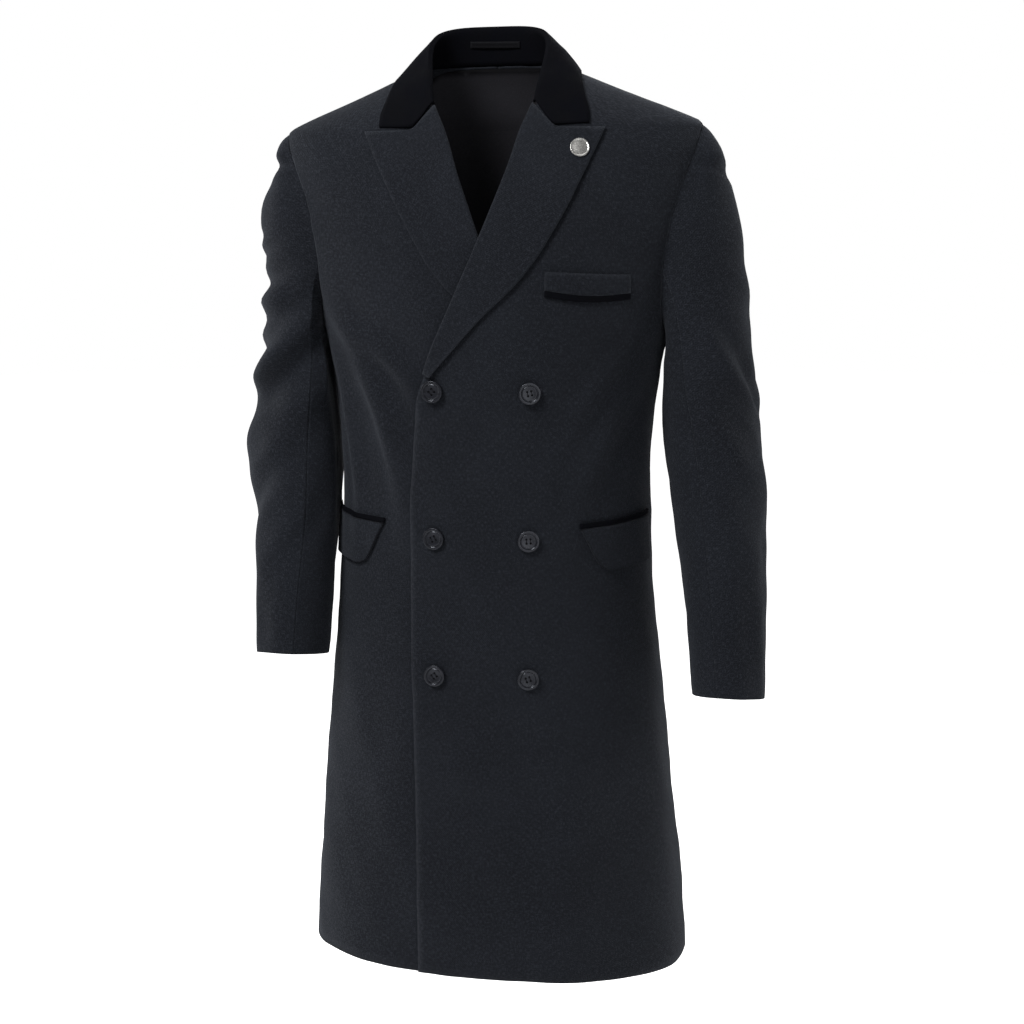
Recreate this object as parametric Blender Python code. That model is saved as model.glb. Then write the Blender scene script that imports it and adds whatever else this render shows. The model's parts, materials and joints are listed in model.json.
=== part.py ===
"""Double-breasted overcoat, filled out as on a wearer but hollow: panels of cloth sewn round the body.

Metres, +Z up. The front faces -Y and the wearer's left is +X. The origin lies on the mid-line at the
height where the shoulder seams meet the collar, which is where a wearer's shoulders carry the coat.
"""

import math

import bpy
import numpy as np

# Cloth and seams
WOOL_WALL = 0.0022
LAPEL_WALL = 0.0019
TRIM_WALL = 0.0016
LINING_WALL = 0.0011
SEAM_GAP = 0.0004
LAY_GAP = 0.0005

# Body, as rings that lie level. Depths are measured from the mid-line to the front and to the back.
SQUARENESS = 2.25
NAPE_RISE = 0.012
NAPE_FROM = -0.050
# Columns: height, half width, depth of the front, depth of the back
HALF_WIDTH, FRONT_DEPTH, BACK_DEPTH = 1, 2, 3
BODY = np.array([
    (-0.980, 0.2135, 0.168, 0.160),
    (-0.880, 0.2060, 0.164, 0.156),
    (-0.780, 0.1955, 0.159, 0.150),
    (-0.680, 0.1870, 0.154, 0.143),
    (-0.580, 0.1770, 0.149, 0.132),
    (-0.480, 0.1700, 0.145, 0.119),
    (-0.400, 0.1690, 0.142, 0.114),
    (-0.320, 0.1760, 0.140, 0.120),
    (-0.240, 0.1920, 0.138, 0.131),
    (-0.160, 0.2080, 0.127, 0.133),
    (-0.110, 0.2190, 0.113, 0.126),
    (-0.080, 0.2255, 0.101, 0.116),
    (-0.062, 0.2250, 0.092, 0.107),
    (-0.052, 0.2190, 0.087, 0.101),
    (-0.045, 0.2050, 0.083, 0.096),
    (-0.036, 0.1800, 0.077, 0.090),
    (-0.025, 0.1480, 0.070, 0.082),
    (-0.012, 0.1120, 0.061, 0.072),
    (0.0000, 0.0800, 0.052, 0.062),
])

# The hem falls lower at the sides and the back than at the front.
HEM = -0.970
HEM_FRONT_RISE = 0.025
HEM_BLEND_TOP = -0.600

# The neck leans to the wearer's right, more towards the top of the collar, and the skirt sways to the left.
LEAN = -0.011
LEAN_FROM = -0.150
LEAN_TO = 0.050
SWAY = 0.006
SWAY_FROM = -0.480
SWAY_TO = -0.970
# The left side stands a little higher at the shoulder and hangs a little lower at the hem.
SHOULDER_TILT = 0.022
SHOULDER_TILT_FROM = -0.160
HEM_TILT = -0.022

# Armhole, an oval on the side of the body, and the two seams that meet it
ARMHOLE_TOP = -0.050
ARMHOLE_BOTTOM = -0.272
ARMHOLE_REACH = {"front": math.radians(28.0), "back": math.radians(25.0)}
ARMHOLE_FULLNESS = 0.42
ARMHOLE_INSET = 0.0021
CROWN_TUCK = -0.0003
START_SINK = 0.0012
CROWN_SINK = 0.0024
SIDE = math.radians(90.0)
MIRROR = np.array([-1.0, 1.0, 1.0])

# Bands of rows up a panel: lower end, upper end and how many rows lie between them
PANEL_BANDS = [
    (-0.970, -0.310, 13),
    (-0.310, -0.2745, 2),
    (-0.2745, -0.2640, 2),
    (-0.2640, -0.2350, 2),
    (-0.2350, -0.0850, 5),
    (-0.0850, -0.0560, 2),
    (-0.0560, -0.0500, 2),
    (-0.0500, -0.0040, 5),
]
FRONT_COLUMNS = 12
BACK_COLUMNS = 9

# Edge of the left front, mirrored for the right: front edge, roll line from the break, neckline
BREAK = -0.304
# Columns: height, distance across from the mid-line
EDGE_ACROSS = 1
FRONT_EDGE = np.array([
    (-0.980, -0.0680),
    (-0.640, -0.0690),
    (-0.490, -0.0700),
    (-0.347, -0.0655),
    (-0.304, -0.0570),
    (-0.240, -0.0320),
    (-0.174, -0.0040),
    (-0.098, 0.0250),
    (-0.033, 0.0490),
    (-0.015, 0.0620),
    (0.0000, 0.0785),
])
# Trims that keep the edge clear of the lapel's roll and of the collar
ROLL_TRIM = 0.0032
ROLL_TRIM_BLEND = 0.010
NECK_TRIM = 0.0030
NECK_TRIM_IN = (-0.045, -0.028)
NECK_TRIM_OUT = (-0.020, -0.002)

# The left front lies over the right one, and over the right lapel higher up.
LAYER = 0.0032
STACK = 0.0050
LAYER_FULL_ACROSS = 0.090
LAYER_END_ACROSS = 0.145
LAYER_FULL_HEIGHT = -0.165
LAYER_END_HEIGHT = -0.060
STACK_FROM = -0.370
STACK_FULL = -0.315

# Lapel: outer edge from the break to the peak, share of the length against place on the front
# Columns: share, distance across, height
LAPEL_ACROSS, LAPEL_HEIGHT = 1, 2
LAPEL_EDGE = np.array([
    (0.00, -0.0480, -0.3030),
    (0.25, -0.0005, -0.2470),
    (0.50, 0.0485, -0.1970),
    (0.75, 0.0895, -0.1270),
    (1.00, 0.1235, -0.0565),
])
LAPEL_ROLL_FROM = -0.299
GORGE_TOP = -0.031
NOTCH = (0.0735, -0.0555)
NOTCH_SHARE = 0.42
NOTCH_BEND = (0.72, 1.0)
LAPEL_ROWS = 14
LAPEL_FLAT_COLUMNS = 6
LAPEL_FIRST_STEP = 0.012
LAPEL_LEAST_STEP = 0.04
LAPEL_LAST_STEP = 0.03
LAPEL_FACE = LAY_GAP + LAPEL_WALL
LAPEL_EDGE_LIFT = 0.0012
ROLL_SOFTNESS = 0.012
# Section of the roll where it turns over the front's edge: across the edge, out from the front's face
CURL = [(0.0003, -0.0010), (-0.0004, 0.0009), (0.0005, 0.0030), (0.0026, 0.0039)]

# Collar, half of it from the centre back to its front end
COLLAR_WALL = 0.0020
COLLAR_STATIONS = 12
# Columns: share, x, y, z
ROLL_XYZ = (1, 2, 3)
COLLAR_ROLL = np.array([
    (0.00, 0.0000, 0.066, 0.0540),
    (0.18, 0.0370, 0.058, 0.0530),
    (0.34, 0.0580, 0.038, 0.0470),
    (0.50, 0.0640, 0.008, 0.0340),
    (0.66, 0.0620, -0.022, 0.0140),
    (0.83, 0.0570, -0.053, -0.0080),
    (1.00, 0.0512, -0.0690, -0.0290),
])
# Lower edge of the fall on the body. Columns: share, degrees round from the front, height
FALL_DEGREES, FALL_HEIGHT = 1, 2
COLLAR_FALL = np.array([
    (0.00, 180.0, -0.0140),
    (0.18, 150.0, -0.0120),
    (0.34, 121.0, -0.0085),
    (0.50, 90.0, -0.0055),
    (0.66, 57.0, -0.0130),
    (0.83, 36.0, -0.0310),
    (1.00, 26.5, -0.0530),
])
COLLAR_NOTCH = (0.0725, -0.0530)
NECK_DROP = 0.030
ROLL_HALF = 0.0042
ROLL_FALL = 0.0036
FALL_BULGE = 0.0035
STAND_GAP = 0.0008
STAND_INSET = 0.0020
FALL_GAP = 0.0009
FALL_FROM = 4
FALL_SHARES = np.array([0.22, NOTCH_SHARE, 0.70, 1.0])
FALL_SOFTNESS = 0.30
STAND_MIDDLE = 0.55
# Shares along the collar over which its stand leans forward, thins to a roll, lies down and meets the notch
COLLAR_LEANS = (0.60, 1.00)
COLLAR_ROLLS = (0.70, 1.00)
COLLAR_LIES = (0.62, 0.90)
COLLAR_BENDS = (0.80, 1.00)
SHARE_STEP = 0.01
# Part of the body that the fall is kept off
KEEP_OFF_STEP = 1.5
KEEP_OFF_LOW = -0.080
KEEP_OFF_LEVELS = 50

# Pockets
FLAP_TOP = -0.4600
FLAP_TALL = 0.0480
FLAP_FRONT_ACROSS = 0.1030
FLAP_SLANT = 0.0220
FLAP_END = math.radians(80.0)
FLAP_CORNER = 0.010
FLAP_CORNER_FROM = 0.8
FLAP_END_CORNER = 4.0
FLAP_STEPS = (0.0, 0.30, 0.60, 0.82, 0.95, 1.0)
FLAP_COLUMNS = 11
FLAP_LIFT = 0.0008
JETTING_TALL = 0.0050
JETTING_OVERHANG = 0.001
TRIM_GAP = 0.0005
POCKET_FACE = TRIM_WALL + 0.0009
WELT_FROM = 0.0660
WELT_TO = 0.1500
WELT_TOP = -0.1960
WELT_TALL = 0.0185
WELT_SLOPE = 0.0040
WELT_SAG = 0.0035
WELT_VELVET_TALL = 0.0060
WELT_COLUMNS = 8

# Buttons and pin
BUTTON_ROWS = (-0.3170, -0.4700, -0.6155)
BUTTON_ACROSS = {"right": -0.0450, "left": 0.0520}
BUTTON_RADIUS = 0.0112
CUFF_BUTTON_RADIUS = 0.0085
BUTTON_THICK = 0.0038
BUTTON_RIM = 0.0022
BUTTON_DISH = 0.0009
BUTTON_FOOT = 0.72
BUTTON_TOP = 0.90
BUTTON_WAIST = 0.45
BUTTON_GAP = 0.0004
CUFF_BUTTON_GAP = 0.0006
CUFF_BUTTON_ROW = -3
CUFF_BUTTON_COLUMN = 2
DRILL_FROM = -0.002
DRILL_TO = 0.007
HOLE_RADIUS = 0.0011
HOLE_SPREAD = 0.0022
BUTTON_SIDES = 14
HOLE_SIDES = 6
PIN_RADIUS = 0.0098
PIN_THICK = 0.0016
PIN_PLACE = (0.0985, -0.0770)
PIN_SEAT = 0.0036
PIN_FOOT = 0.92
PIN_TOP = 0.90
PIN_WAIST = 0.40
PIN_SIDES = 20

# Lining and loop
LINING_BOTTOM = -0.250
LINING_GAP = 0.0006
LINING_HALF_TURN = math.radians(45.0)
LOOP_HALF = 0.0270
LOOP_TALL = 0.0070
LOOP_HEIGHT = 0.0340
LOOP_BOW = 0.0020
LOOP_GAP = 0.0006
LOOP_WALL = 0.0009
LOOP_COLUMNS = 9
LOOP_REACH = 6

# Sleeves: a row for each section of the arm below the armhole
ARM_CLEAR = 0.0075
# Columns: height, distance out and forward of the section's middle, half width, half depth
ARM_OUT, ARM_FORWARD, ARM_HALF_WIDTH, ARM_HALF_DEPTH = 1, 2, 3, 4
ARMS = {
    "left": np.array([
        (-0.300, 0.2215, 0.004, 0.0555, 0.076),
        (-0.384, 0.2355, 0.006, 0.0540, 0.071),
        (-0.467, 0.2455, 0.018, 0.0500, 0.066),
        (-0.550, 0.2530, 0.040, 0.0445, 0.059),
        (-0.650, 0.2585, 0.062, 0.0390, 0.053),
    ]),
    "right": np.array([
        (-0.300, 0.2035, 0.004, 0.0525, 0.076),
        (-0.390, 0.2115, 0.012, 0.0565, 0.071),
        (-0.465, 0.2095, 0.035, 0.0540, 0.066),
        (-0.545, 0.2110, 0.066, 0.0440, 0.059),
        (-0.613, 0.2110, 0.092, 0.0380, 0.053),
    ]),
}
CAP_ROWS = 7
ARM_ROWS = 10
CAP_OUT = 0.064
CAP_FLAT = 0.030
CAP_DOWN = 0.050
CAP_END = 0.240
CAP_ROPE = 0.0072
CAP_ROPE_AT = 0.21
CAP_ROPE_WIDE = 0.09
CAP_ROPE_UP = 0.9
CAP_CLEAR_FROM = 0.10
CAP_CLEAR_FULL = 0.60
CAP_CROWDING = 1.25
CAP_LEAST_FALL = 0.12
SLEEVE_RADIUS = 0.058
ARMHOLE_RADIUS = 0.200
FOLD_FADE_ROWS = 3.0
CUFF_TILT = 0.012
FRONT_SEAM = math.radians(108.0)
HIND_SEAM = math.radians(-122.0)
TOP_SLEEVE_COLUMNS = 13
UNDER_SLEEVE_COLUMNS = 8

# Folds of the body. Columns: degrees round from the front, height, half length along and across the
# fold, tilt in degrees, depth
BODY_FOLDS = [
    (-45.0, -0.300, 0.075, 0.020, -30.0, 0.0045),
    (47.0, -0.340, 0.065, 0.022, 28.0, 0.0025),
    (66.0, -0.800, 0.180, 0.030, 4.0, 0.0050),
    (-68.0, -0.790, 0.180, 0.030, -4.0, 0.0050),
    (118.0, -0.800, 0.190, 0.034, 3.0, 0.0060),
    (-118.0, -0.800, 0.190, 0.034, -3.0, 0.0060),
    (152.0, -0.330, 0.100, 0.022, -24.0, 0.0035),
    (-152.0, -0.330, 0.100, 0.022, 24.0, 0.0035),
]
# Folds of a sleeve, with the same columns. Degrees run round from its outer side, and 90 is its front.
ARM_FOLDS = {
    "left": [
        (0.0, -0.140, 0.060, 0.060, 0.0, 0.0075),
        (45.0, -0.310, 0.055, 0.016, 38.0, 0.0040),
        (25.0, -0.355, 0.055, 0.018, 40.0, -0.0025),
        (70.0, -0.400, 0.050, 0.016, 30.0, 0.0030),
        (-60.0, -0.430, 0.060, 0.018, -30.0, 0.0040),
        (30.0, -0.540, 0.110, 0.014, 6.0, 0.0025),
    ],
    "right": [
        (0.0, -0.140, 0.050, 0.060, 0.0, 0.0135),
        (0.0, -0.184, 0.045, 0.013, 68.0, 0.0040),
        (5.0, -0.212, 0.045, 0.013, 65.0, -0.0035),
        (50.0, -0.309, 0.055, 0.015, 41.0, 0.0050),
        (35.0, -0.345, 0.055, 0.018, 45.0, -0.0030),
        (5.0, -0.385, 0.045, 0.035, 30.0, 0.0045),
        (85.0, -0.430, 0.060, 0.015, 32.0, 0.0030),
        (-60.0, -0.430, 0.060, 0.018, -30.0, 0.0040),
        (35.0, -0.520, 0.090, 0.014, 5.0, 0.0025),
    ],
}

# Looks of each cloth: colour, roughness, metallic
FINISHES = {
    "wool": ((0.016, 0.017, 0.020), 0.95, 0.0),
    "velvet": ((0.003, 0.003, 0.005), 0.85, 0.0),
    "lining": ((0.012, 0.010, 0.010), 0.55, 0.0),
    "button": ((0.020, 0.020, 0.026), 0.35, 0.0),
    "silver": ((0.620, 0.610, 0.590), 0.25, 1.0),
}


def clear_scene():
    for thing in list(bpy.data.objects):
        bpy.data.objects.remove(thing, do_unlink=True)


def finish_of(name):
    """The material of a cloth, made once."""
    if name in bpy.data.materials:
        return bpy.data.materials[name]
    colour, roughness, metallic = FINISHES[name]
    material = bpy.data.materials.new(name)
    material.use_nodes = True
    shader = material.node_tree.nodes["Principled BSDF"]
    shader.inputs["Base Color"].default_value = (*colour, 1.0)
    shader.inputs["Roughness"].default_value = roughness
    shader.inputs["Metallic"].default_value = metallic
    return material


def ease(low, high, at):
    """0 below low, 1 above high, smooth between."""
    share = np.clip((np.asarray(at, float) - low) / (high - low), 0.0, 1.0)
    return share * share * (3.0 - 2.0 * share)


def through(table, column, at):
    """Smooth curve through one column of a table, read at a value of its first column."""
    xs = table[:, 0]
    ys = table[:, column]
    slopes = np.gradient(ys, xs)
    at = np.clip(np.asarray(at, float), xs[0], xs[-1])
    left = np.clip(np.searchsorted(xs, at, side="right") - 1, 0, len(xs) - 2)
    step = xs[left + 1] - xs[left]
    t = (at - xs[left]) / step
    start = (1 + 2 * t) * (1 - t) ** 2 * ys[left] + t * (1 - t) ** 2 * step * slopes[left]
    end = t * t * (3 - 2 * t) * ys[left + 1] + t * t * (t - 1) * step * slopes[left + 1]
    return start + end


def unit(vectors):
    return vectors / np.maximum(np.linalg.norm(vectors, axis=-1, keepdims=True), 1e-12)


def fold_height(folds, degrees, height, radius):
    """Sum of soft ridges that run along slanted lines on a surface."""
    total = np.zeros(np.broadcast(degrees, height).shape)
    for place, level, along, across, tilt, depth in folds:
        turn = (degrees - place + 180.0) % 360.0 - 180.0
        side = np.radians(turn) * radius
        rise = height - level
        lean = math.radians(tilt)
        up = rise * math.cos(lean) + side * math.sin(lean)
        over = side * math.cos(lean) - rise * math.sin(lean)
        total = total + depth * np.exp(-((up / along) ** 2) - (over / across) ** 2)
    return total


def ring_point(angle, height):
    """Point of the body's plain ring. Angle 0 is the front and a quarter turn the wearer's left."""
    half = through(BODY, HALF_WIDTH, height)
    sine = np.sin(angle)
    cosine = np.cos(angle)
    depth = np.where(cosine > 0, through(BODY, FRONT_DEPTH, height), through(BODY, BACK_DEPTH, height))
    power = 2.0 / SQUARENESS
    x = half * np.sign(sine) * np.abs(sine) ** power
    y = -depth * np.sign(cosine) * np.abs(cosine) ** power
    nape = NAPE_RISE * (1.0 - cosine) / 2.0 * ease(NAPE_FROM, 0.0, height)
    hem = HEM_FRONT_RISE * ((1.0 + cosine) / 2.0) ** 2 * (1.0 - ease(HEM, HEM_BLEND_TOP, height))
    return np.stack(np.broadcast_arrays(x, y, height + nape + hem), axis=-1)


def body_normal(angle, height):
    turn = 0.004
    rise = 0.0004
    round_it = ring_point(angle + turn, height) - ring_point(angle - turn, height)
    low = np.minimum(height, BODY[-1, 0] - rise)
    up_it = ring_point(angle, low + rise) - ring_point(angle, low - rise)
    return unit(np.cross(round_it, up_it))


def body_point(angle, height, out=0.0):
    """Point at a distance out from the body's outer face, with its folds."""
    angle, height, out = np.broadcast_arrays(np.asarray(angle, float), np.asarray(height, float), out)
    folds = fold_height(BODY_FOLDS, np.degrees(angle), height, through(BODY, HALF_WIDTH, height))
    return ring_point(angle, height) + body_normal(angle, height) * (out + folds)[..., None]


def front_angle(across, height):
    """Angle on the front of the body that lies this far from the mid-line."""
    share = np.clip(np.abs(across) / through(BODY, HALF_WIDTH, height), 0.0, 1.0)
    return np.sign(across) * np.arcsin(share ** (SQUARENESS / 2.0))


def armhole_angle(height, face):
    """How far the armhole reaches from the side, at a height."""
    middle = (ARMHOLE_TOP + ARMHOLE_BOTTOM) / 2.0
    half = (ARMHOLE_TOP - ARMHOLE_BOTTOM) / 2.0
    inside = np.clip(1.0 - ((np.asarray(height) - middle) / half) ** 2, 0.0, 1.0)
    return ARMHOLE_REACH[face] * inside ** ARMHOLE_FULLNESS


def left_lift(across, height):
    """How far the left front lies outside the body's face, because of what is under it."""
    deep = LAYER + STACK * ease(STACK_FROM, STACK_FULL, height)
    fade_up = 1.0 - ease(LAYER_FULL_HEIGHT, LAYER_END_HEIGHT, height)
    fade_out = 1.0 - ease(LAYER_FULL_ACROSS, LAYER_END_ACROSS, across)
    return deep * fade_up * fade_out


def lift_of(side, across, height):
    return left_lift(across, height) if side == "left" else np.zeros(np.shape(across))


def hand_of(side):
    return 1.0 if side == "left" else -1.0


def leaned(points):
    """The same points with the lean of the neck, the sway of the skirt and the tilt of shoulders and hem."""
    moved = np.array(points, float)
    x = points[..., 0]
    z = points[..., 2]
    share = np.clip((z - LEAN_FROM) / (LEAN_TO - LEAN_FROM), 0.0, 1.0)
    low = 1.0 - ease(SWAY_TO, SWAY_FROM, z)
    high = ease(SHOULDER_TILT_FROM, ARMHOLE_TOP, z)
    moved[..., 0] += LEAN * share * share + SWAY * low
    moved[..., 2] += x * (SHOULDER_TILT * high + HEM_TILT * low)
    return moved


def grid_normals(grid):
    return unit(np.cross(np.gradient(grid, axis=1), np.gradient(grid, axis=0)))


def add_object(name, points, faces, finish):
    mesh = bpy.data.meshes.new(name)
    mesh.from_pydata([tuple(point) for point in points], [], faces)
    mesh.update()
    mesh.materials.append(finish_of(finish))
    thing = bpy.data.objects.new(name, mesh)
    bpy.context.scene.collection.objects.link(thing)
    return thing


def facing_out(points, faces):
    """The faces, turned round if they enclose a negative volume."""
    volume = 0.0
    for face in faces:
        for second, third in zip(face[1:-1], face[2:]):
            volume += np.dot(points[face[0]], np.cross(points[second], points[third]))
    return faces if volume > 0 else [face[::-1] for face in faces]


def sheet(name, grid, wall, finish, away, spare=0):
    """A closed wall of cloth. The grid is its shown face, and away is 1 or -1 for the side its wall goes to.

    Spare columns at both ends only give the slope at a seam, so that the next piece has the same one there.
    """
    grid = leaned(grid)
    back = grid + away * grid_normals(grid) * wall
    kept = slice(spare, grid.shape[1] - spare)
    grid = grid[:, kept]
    back = back[:, kept]
    rows, columns = grid.shape[:2]
    points = np.concatenate([grid.reshape(-1, 3), back.reshape(-1, 3)])
    far = rows * columns
    faces = []
    for i in range(rows - 1):
        for j in range(columns - 1):
            a = i * columns + j
            b = a + columns
            faces.append((a, a + 1, b + 1, b))
            faces.append((far + a, far + b, far + b + 1, far + a + 1))
    border = [j for j in range(columns)]
    border += [i * columns + columns - 1 for i in range(1, rows)]
    border += [(rows - 1) * columns + j for j in range(columns - 2, -1, -1)]
    border += [i * columns for i in range(rows - 2, 0, -1)]
    for a, b in zip(border, border[1:] + border[:1]):
        faces.append((b, a, far + a, far + b))
    return add_object(name, points, facing_out(points, faces), finish)


def panel_heights():
    heights = [PANEL_BANDS[0][0]]
    for low, high, count in PANEL_BANDS:
        heights += list(np.linspace(low, high, count + 1)[1:])
    return np.array(heights)


def spread_columns(start, end, middle, columns):
    """Angles across each row of a panel. The middle column stays put where the armhole bites into a side."""
    near = columns // 2
    first = np.linspace(0.0, 1.0, near + 1)[None, :]
    second = np.linspace(0.0, 1.0, columns - near)[None, 1:]
    start, end, middle = start[:, None], end[:, None], middle[:, None]
    return np.concatenate([start + (middle - start) * first, middle + (end - middle) * second], axis=1)


def front_panel(side):
    """One front, from its edge or roll line to the side seam, the armhole and the shoulder seam."""
    heights = panel_heights()
    across = through(FRONT_EDGE, EDGE_ACROSS, heights)
    across = across + ROLL_TRIM * ease(BREAK - ROLL_TRIM_BLEND, BREAK + ROLL_TRIM_BLEND, heights)
    across = across + NECK_TRIM * ease(*NECK_TRIM_IN, heights) * (1.0 - ease(*NECK_TRIM_OUT, heights))
    start = front_angle(across, heights)
    gap = SEAM_GAP / through(BODY, HALF_WIDTH, heights)
    end = SIDE - armhole_angle(heights, "front") - gap
    angle = spread_columns(start, end, (start + SIDE) / 2.0, FRONT_COLUMNS)
    height = np.repeat(heights[:, None], FRONT_COLUMNS, axis=1)
    spread = ring_point(angle, height)[..., 0]
    grid = body_point(hand_of(side) * angle, height, lift_of(side, spread, height))
    return sheet("front_" + side, grid, WOOL_WALL, "wool", -hand_of(side))


def back_panel(side):
    """One half of the back, from the side seam, armhole and shoulder seam to the centre back seam."""
    heights = np.append(panel_heights(), 0.0)
    gap = SEAM_GAP / through(BODY, HALF_WIDTH, heights)
    start = SIDE + armhole_angle(heights, "back") + gap
    end = math.pi - gap
    middle = np.full(len(heights), (SIDE + math.pi) / 2.0)
    angle = spread_columns(start, end, middle, BACK_COLUMNS)
    height = np.repeat(heights[:, None], BACK_COLUMNS, axis=1)
    grid = body_point(hand_of(side) * angle, height)
    return sheet("back_" + side, grid, WOOL_WALL, "wool", -hand_of(side))


def on_front(side, across, height, out):
    """Point out from the face of a front, measured from the mid-line towards that front's own side."""
    angle = front_angle(across, height)
    return body_point(hand_of(side) * angle, height, lift_of(side, across, height) + out)


def bent_row(start, end, notch, share, bend):
    """Straight row from start to end, bent towards the notch by a share."""
    x = start[0] + (end[0] - start[0]) * share
    z = start[1] + (end[1] - start[1]) * share
    straight_x = start[0] + (end[0] - start[0]) * NOTCH_SHARE
    straight_z = start[1] + (end[1] - start[1]) * NOTCH_SHARE
    hat = np.where(share < NOTCH_SHARE, share / NOTCH_SHARE, (1 - share) / (1 - NOTCH_SHARE))
    return x + bend * hat * (notch[0] - straight_x), z + bend * hat * (notch[1] - straight_z)


def lapel_grid(side):
    """Shown face of a lapel: a roll over the edge of the front, then the part that lies on the front."""
    rows = []
    for share in np.linspace(0.0, 1.0, LAPEL_ROWS):
        roll_z = LAPEL_ROLL_FROM + (GORGE_TOP - LAPEL_ROLL_FROM) * share
        roll = (float(through(FRONT_EDGE, EDGE_ACROSS, roll_z)), roll_z)
        edge = [float(through(LAPEL_EDGE, column, share)) for column in (LAPEL_ACROSS, LAPEL_HEIGHT)]
        width = math.hypot(edge[0] - roll[0], edge[1] - roll[1])
        first = min(LAPEL_FIRST_STEP, 0.5 * width) / width
        steps = np.append(first, NOTCH_SHARE)
        steps = np.append(steps, np.linspace(NOTCH_SHARE, 1.0, LAPEL_FLAT_COLUMNS - 1)[1:])
        count = np.arange(len(steps))
        steps = np.maximum.accumulate(np.maximum(steps, first + LAPEL_LEAST_STEP * count))
        steps = np.minimum(steps, 1.0 - LAPEL_LAST_STEP * count[::-1])
        bend = float(ease(*NOTCH_BEND, share))
        across, height = bent_row(roll, edge, NOTCH, steps, bend)
        run = steps * width
        roll_end, roll_rise = CURL[-1]
        out = LAPEL_FACE + (roll_rise - LAPEL_FACE) * np.exp(-((run - roll_end) / ROLL_SOFTNESS) ** 2)
        out = out + LAPEL_EDGE_LIFT * steps * steps
        flat = on_front(side, across, height, out)
        base = on_front(side, np.array(roll[0]), np.array(roll[1]), 0.0)
        near = on_front(side, np.array(across[0]), np.array(height[0]), 0.0)
        angle = hand_of(side) * front_angle(np.array(roll[0]), np.array(roll[1]))
        normal = body_normal(angle, np.array(roll[1]))
        over = unit(near - base)
        curl = [base + over * u + normal * w for u, w in CURL]
        rows.append(np.concatenate([np.array(curl), flat]))
    return np.array(rows)


def neck_seam(share):
    """Point of the neckline under the collar, from the centre back to the front end."""
    if share <= 0.5:
        angle = math.pi - (math.pi - SIDE) * share / 0.5
        return ring_point(np.array(angle), np.array(0.0))
    height = -NECK_DROP * ((share - 0.5) / 0.5) ** 1.6
    across = float(through(FRONT_EDGE, EDGE_ACROSS, height))
    return on_front("right", np.array(across), np.array(height), 0.0) * MIRROR


def collar_row(share):
    """Section of the collar on the wearer's left: up the stand, over the roll, down the fall."""
    roll, after, before = (
        np.array([float(through(COLLAR_ROLL, k, place)) for k in ROLL_XYZ])
        for place in (share, min(share + SHARE_STEP, 1.0), max(share - SHARE_STEP, 0.0))
    )
    path = unit(after - before)
    turn = math.radians(float(through(COLLAR_FALL, FALL_DEGREES, share)))
    low = float(through(COLLAR_FALL, FALL_HEIGHT, share))
    edge = body_point(np.array(turn), np.array(low), LAPEL_FACE)
    front = float(ease(*COLLAR_LEANS, share))
    gorge_across = np.array(through(FRONT_EDGE, EDGE_ACROSS, GORGE_TOP))
    gorge = body_normal(front_angle(gorge_across, np.array(GORGE_TOP)), np.array(GORGE_TOP))
    up = unit(np.array([0.0, 0.0, 1.0]) * (1.0 - front) + gorge * front)
    over = unit(np.cross(up, path))
    over = over if np.dot(over, edge - roll) > 0 else -over
    seam = neck_seam(share) + up * STAND_GAP - over * STAND_INSET
    stand_top = roll - over * ROLL_HALF - up * ROLL_FALL
    back_style = [
        seam,
        seam * (1.0 - STAND_MIDDLE) + stand_top * STAND_MIDDLE,
        stand_top,
        roll,
        roll + over * ROLL_HALF - up * ROLL_FALL,
    ]
    front_style = [roll + over * u + up * w for u, w in [CURL[0], (-0.0001, 0.0), *CURL[1:]]]
    mix = float(ease(*COLLAR_ROLLS, share))
    points = [a * (1 - mix) + b * mix for a, b in zip(back_style, front_style)]
    bend = float(ease(*COLLAR_BENDS, share))
    start = points[-1]
    lay = float(ease(*COLLAR_LIES, share))
    flat_edge = (float(edge[0]), float(edge[2]))
    flat_roll = (float(roll[0]), float(roll[2]))
    across, height = bent_row(flat_roll, flat_edge, COLLAR_NOTCH, FALL_SHARES, bend)
    rise = LAPEL_FACE + (CURL[-1][1] - LAPEL_FACE) * np.exp(-(FALL_SHARES / FALL_SOFTNESS) ** 2)
    for k, part in enumerate(FALL_SHARES):
        hung = start * (1 - part) + edge * part + over * FALL_BULGE * math.sin(math.pi * part)
        laid = hung
        if lay > 0.0:
            laid = on_front("right", np.array(across[k]), np.array(height[k]), rise[k]) * MIRROR
        points.append(hung * (1 - lay) + laid * lay)
    return np.array(points)


def kept_off_body(points, distance):
    """The points moved out until each is this far from the body's face."""
    turns = np.radians(np.arange(0.0, 180.0 + KEEP_OFF_STEP, KEEP_OFF_STEP))[None, :]
    levels = np.linspace(KEEP_OFF_LOW, 0.0, KEEP_OFF_LEVELS)[:, None]
    face = body_point(turns, levels).reshape(-1, 3)
    normal = body_normal(*np.broadcast_arrays(turns, levels)).reshape(-1, 3)
    moved = []
    for point in points:
        nearest = np.argmin(np.sum((face - point) ** 2, axis=1))
        height = np.dot(point - face[nearest], normal[nearest])
        moved.append(point + normal[nearest] * max(distance - height, 0.0))
    return np.array(moved)


def collar_grid():
    left = [collar_row(share) for share in np.linspace(0.0, 1.0, COLLAR_STATIONS + 1)]
    for row in left:
        row[FALL_FROM:] = kept_off_body(row[FALL_FROM:], COLLAR_WALL + FALL_GAP)
    right = [row * MIRROR for row in left[:0:-1]]
    return np.array(right + left)


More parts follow.
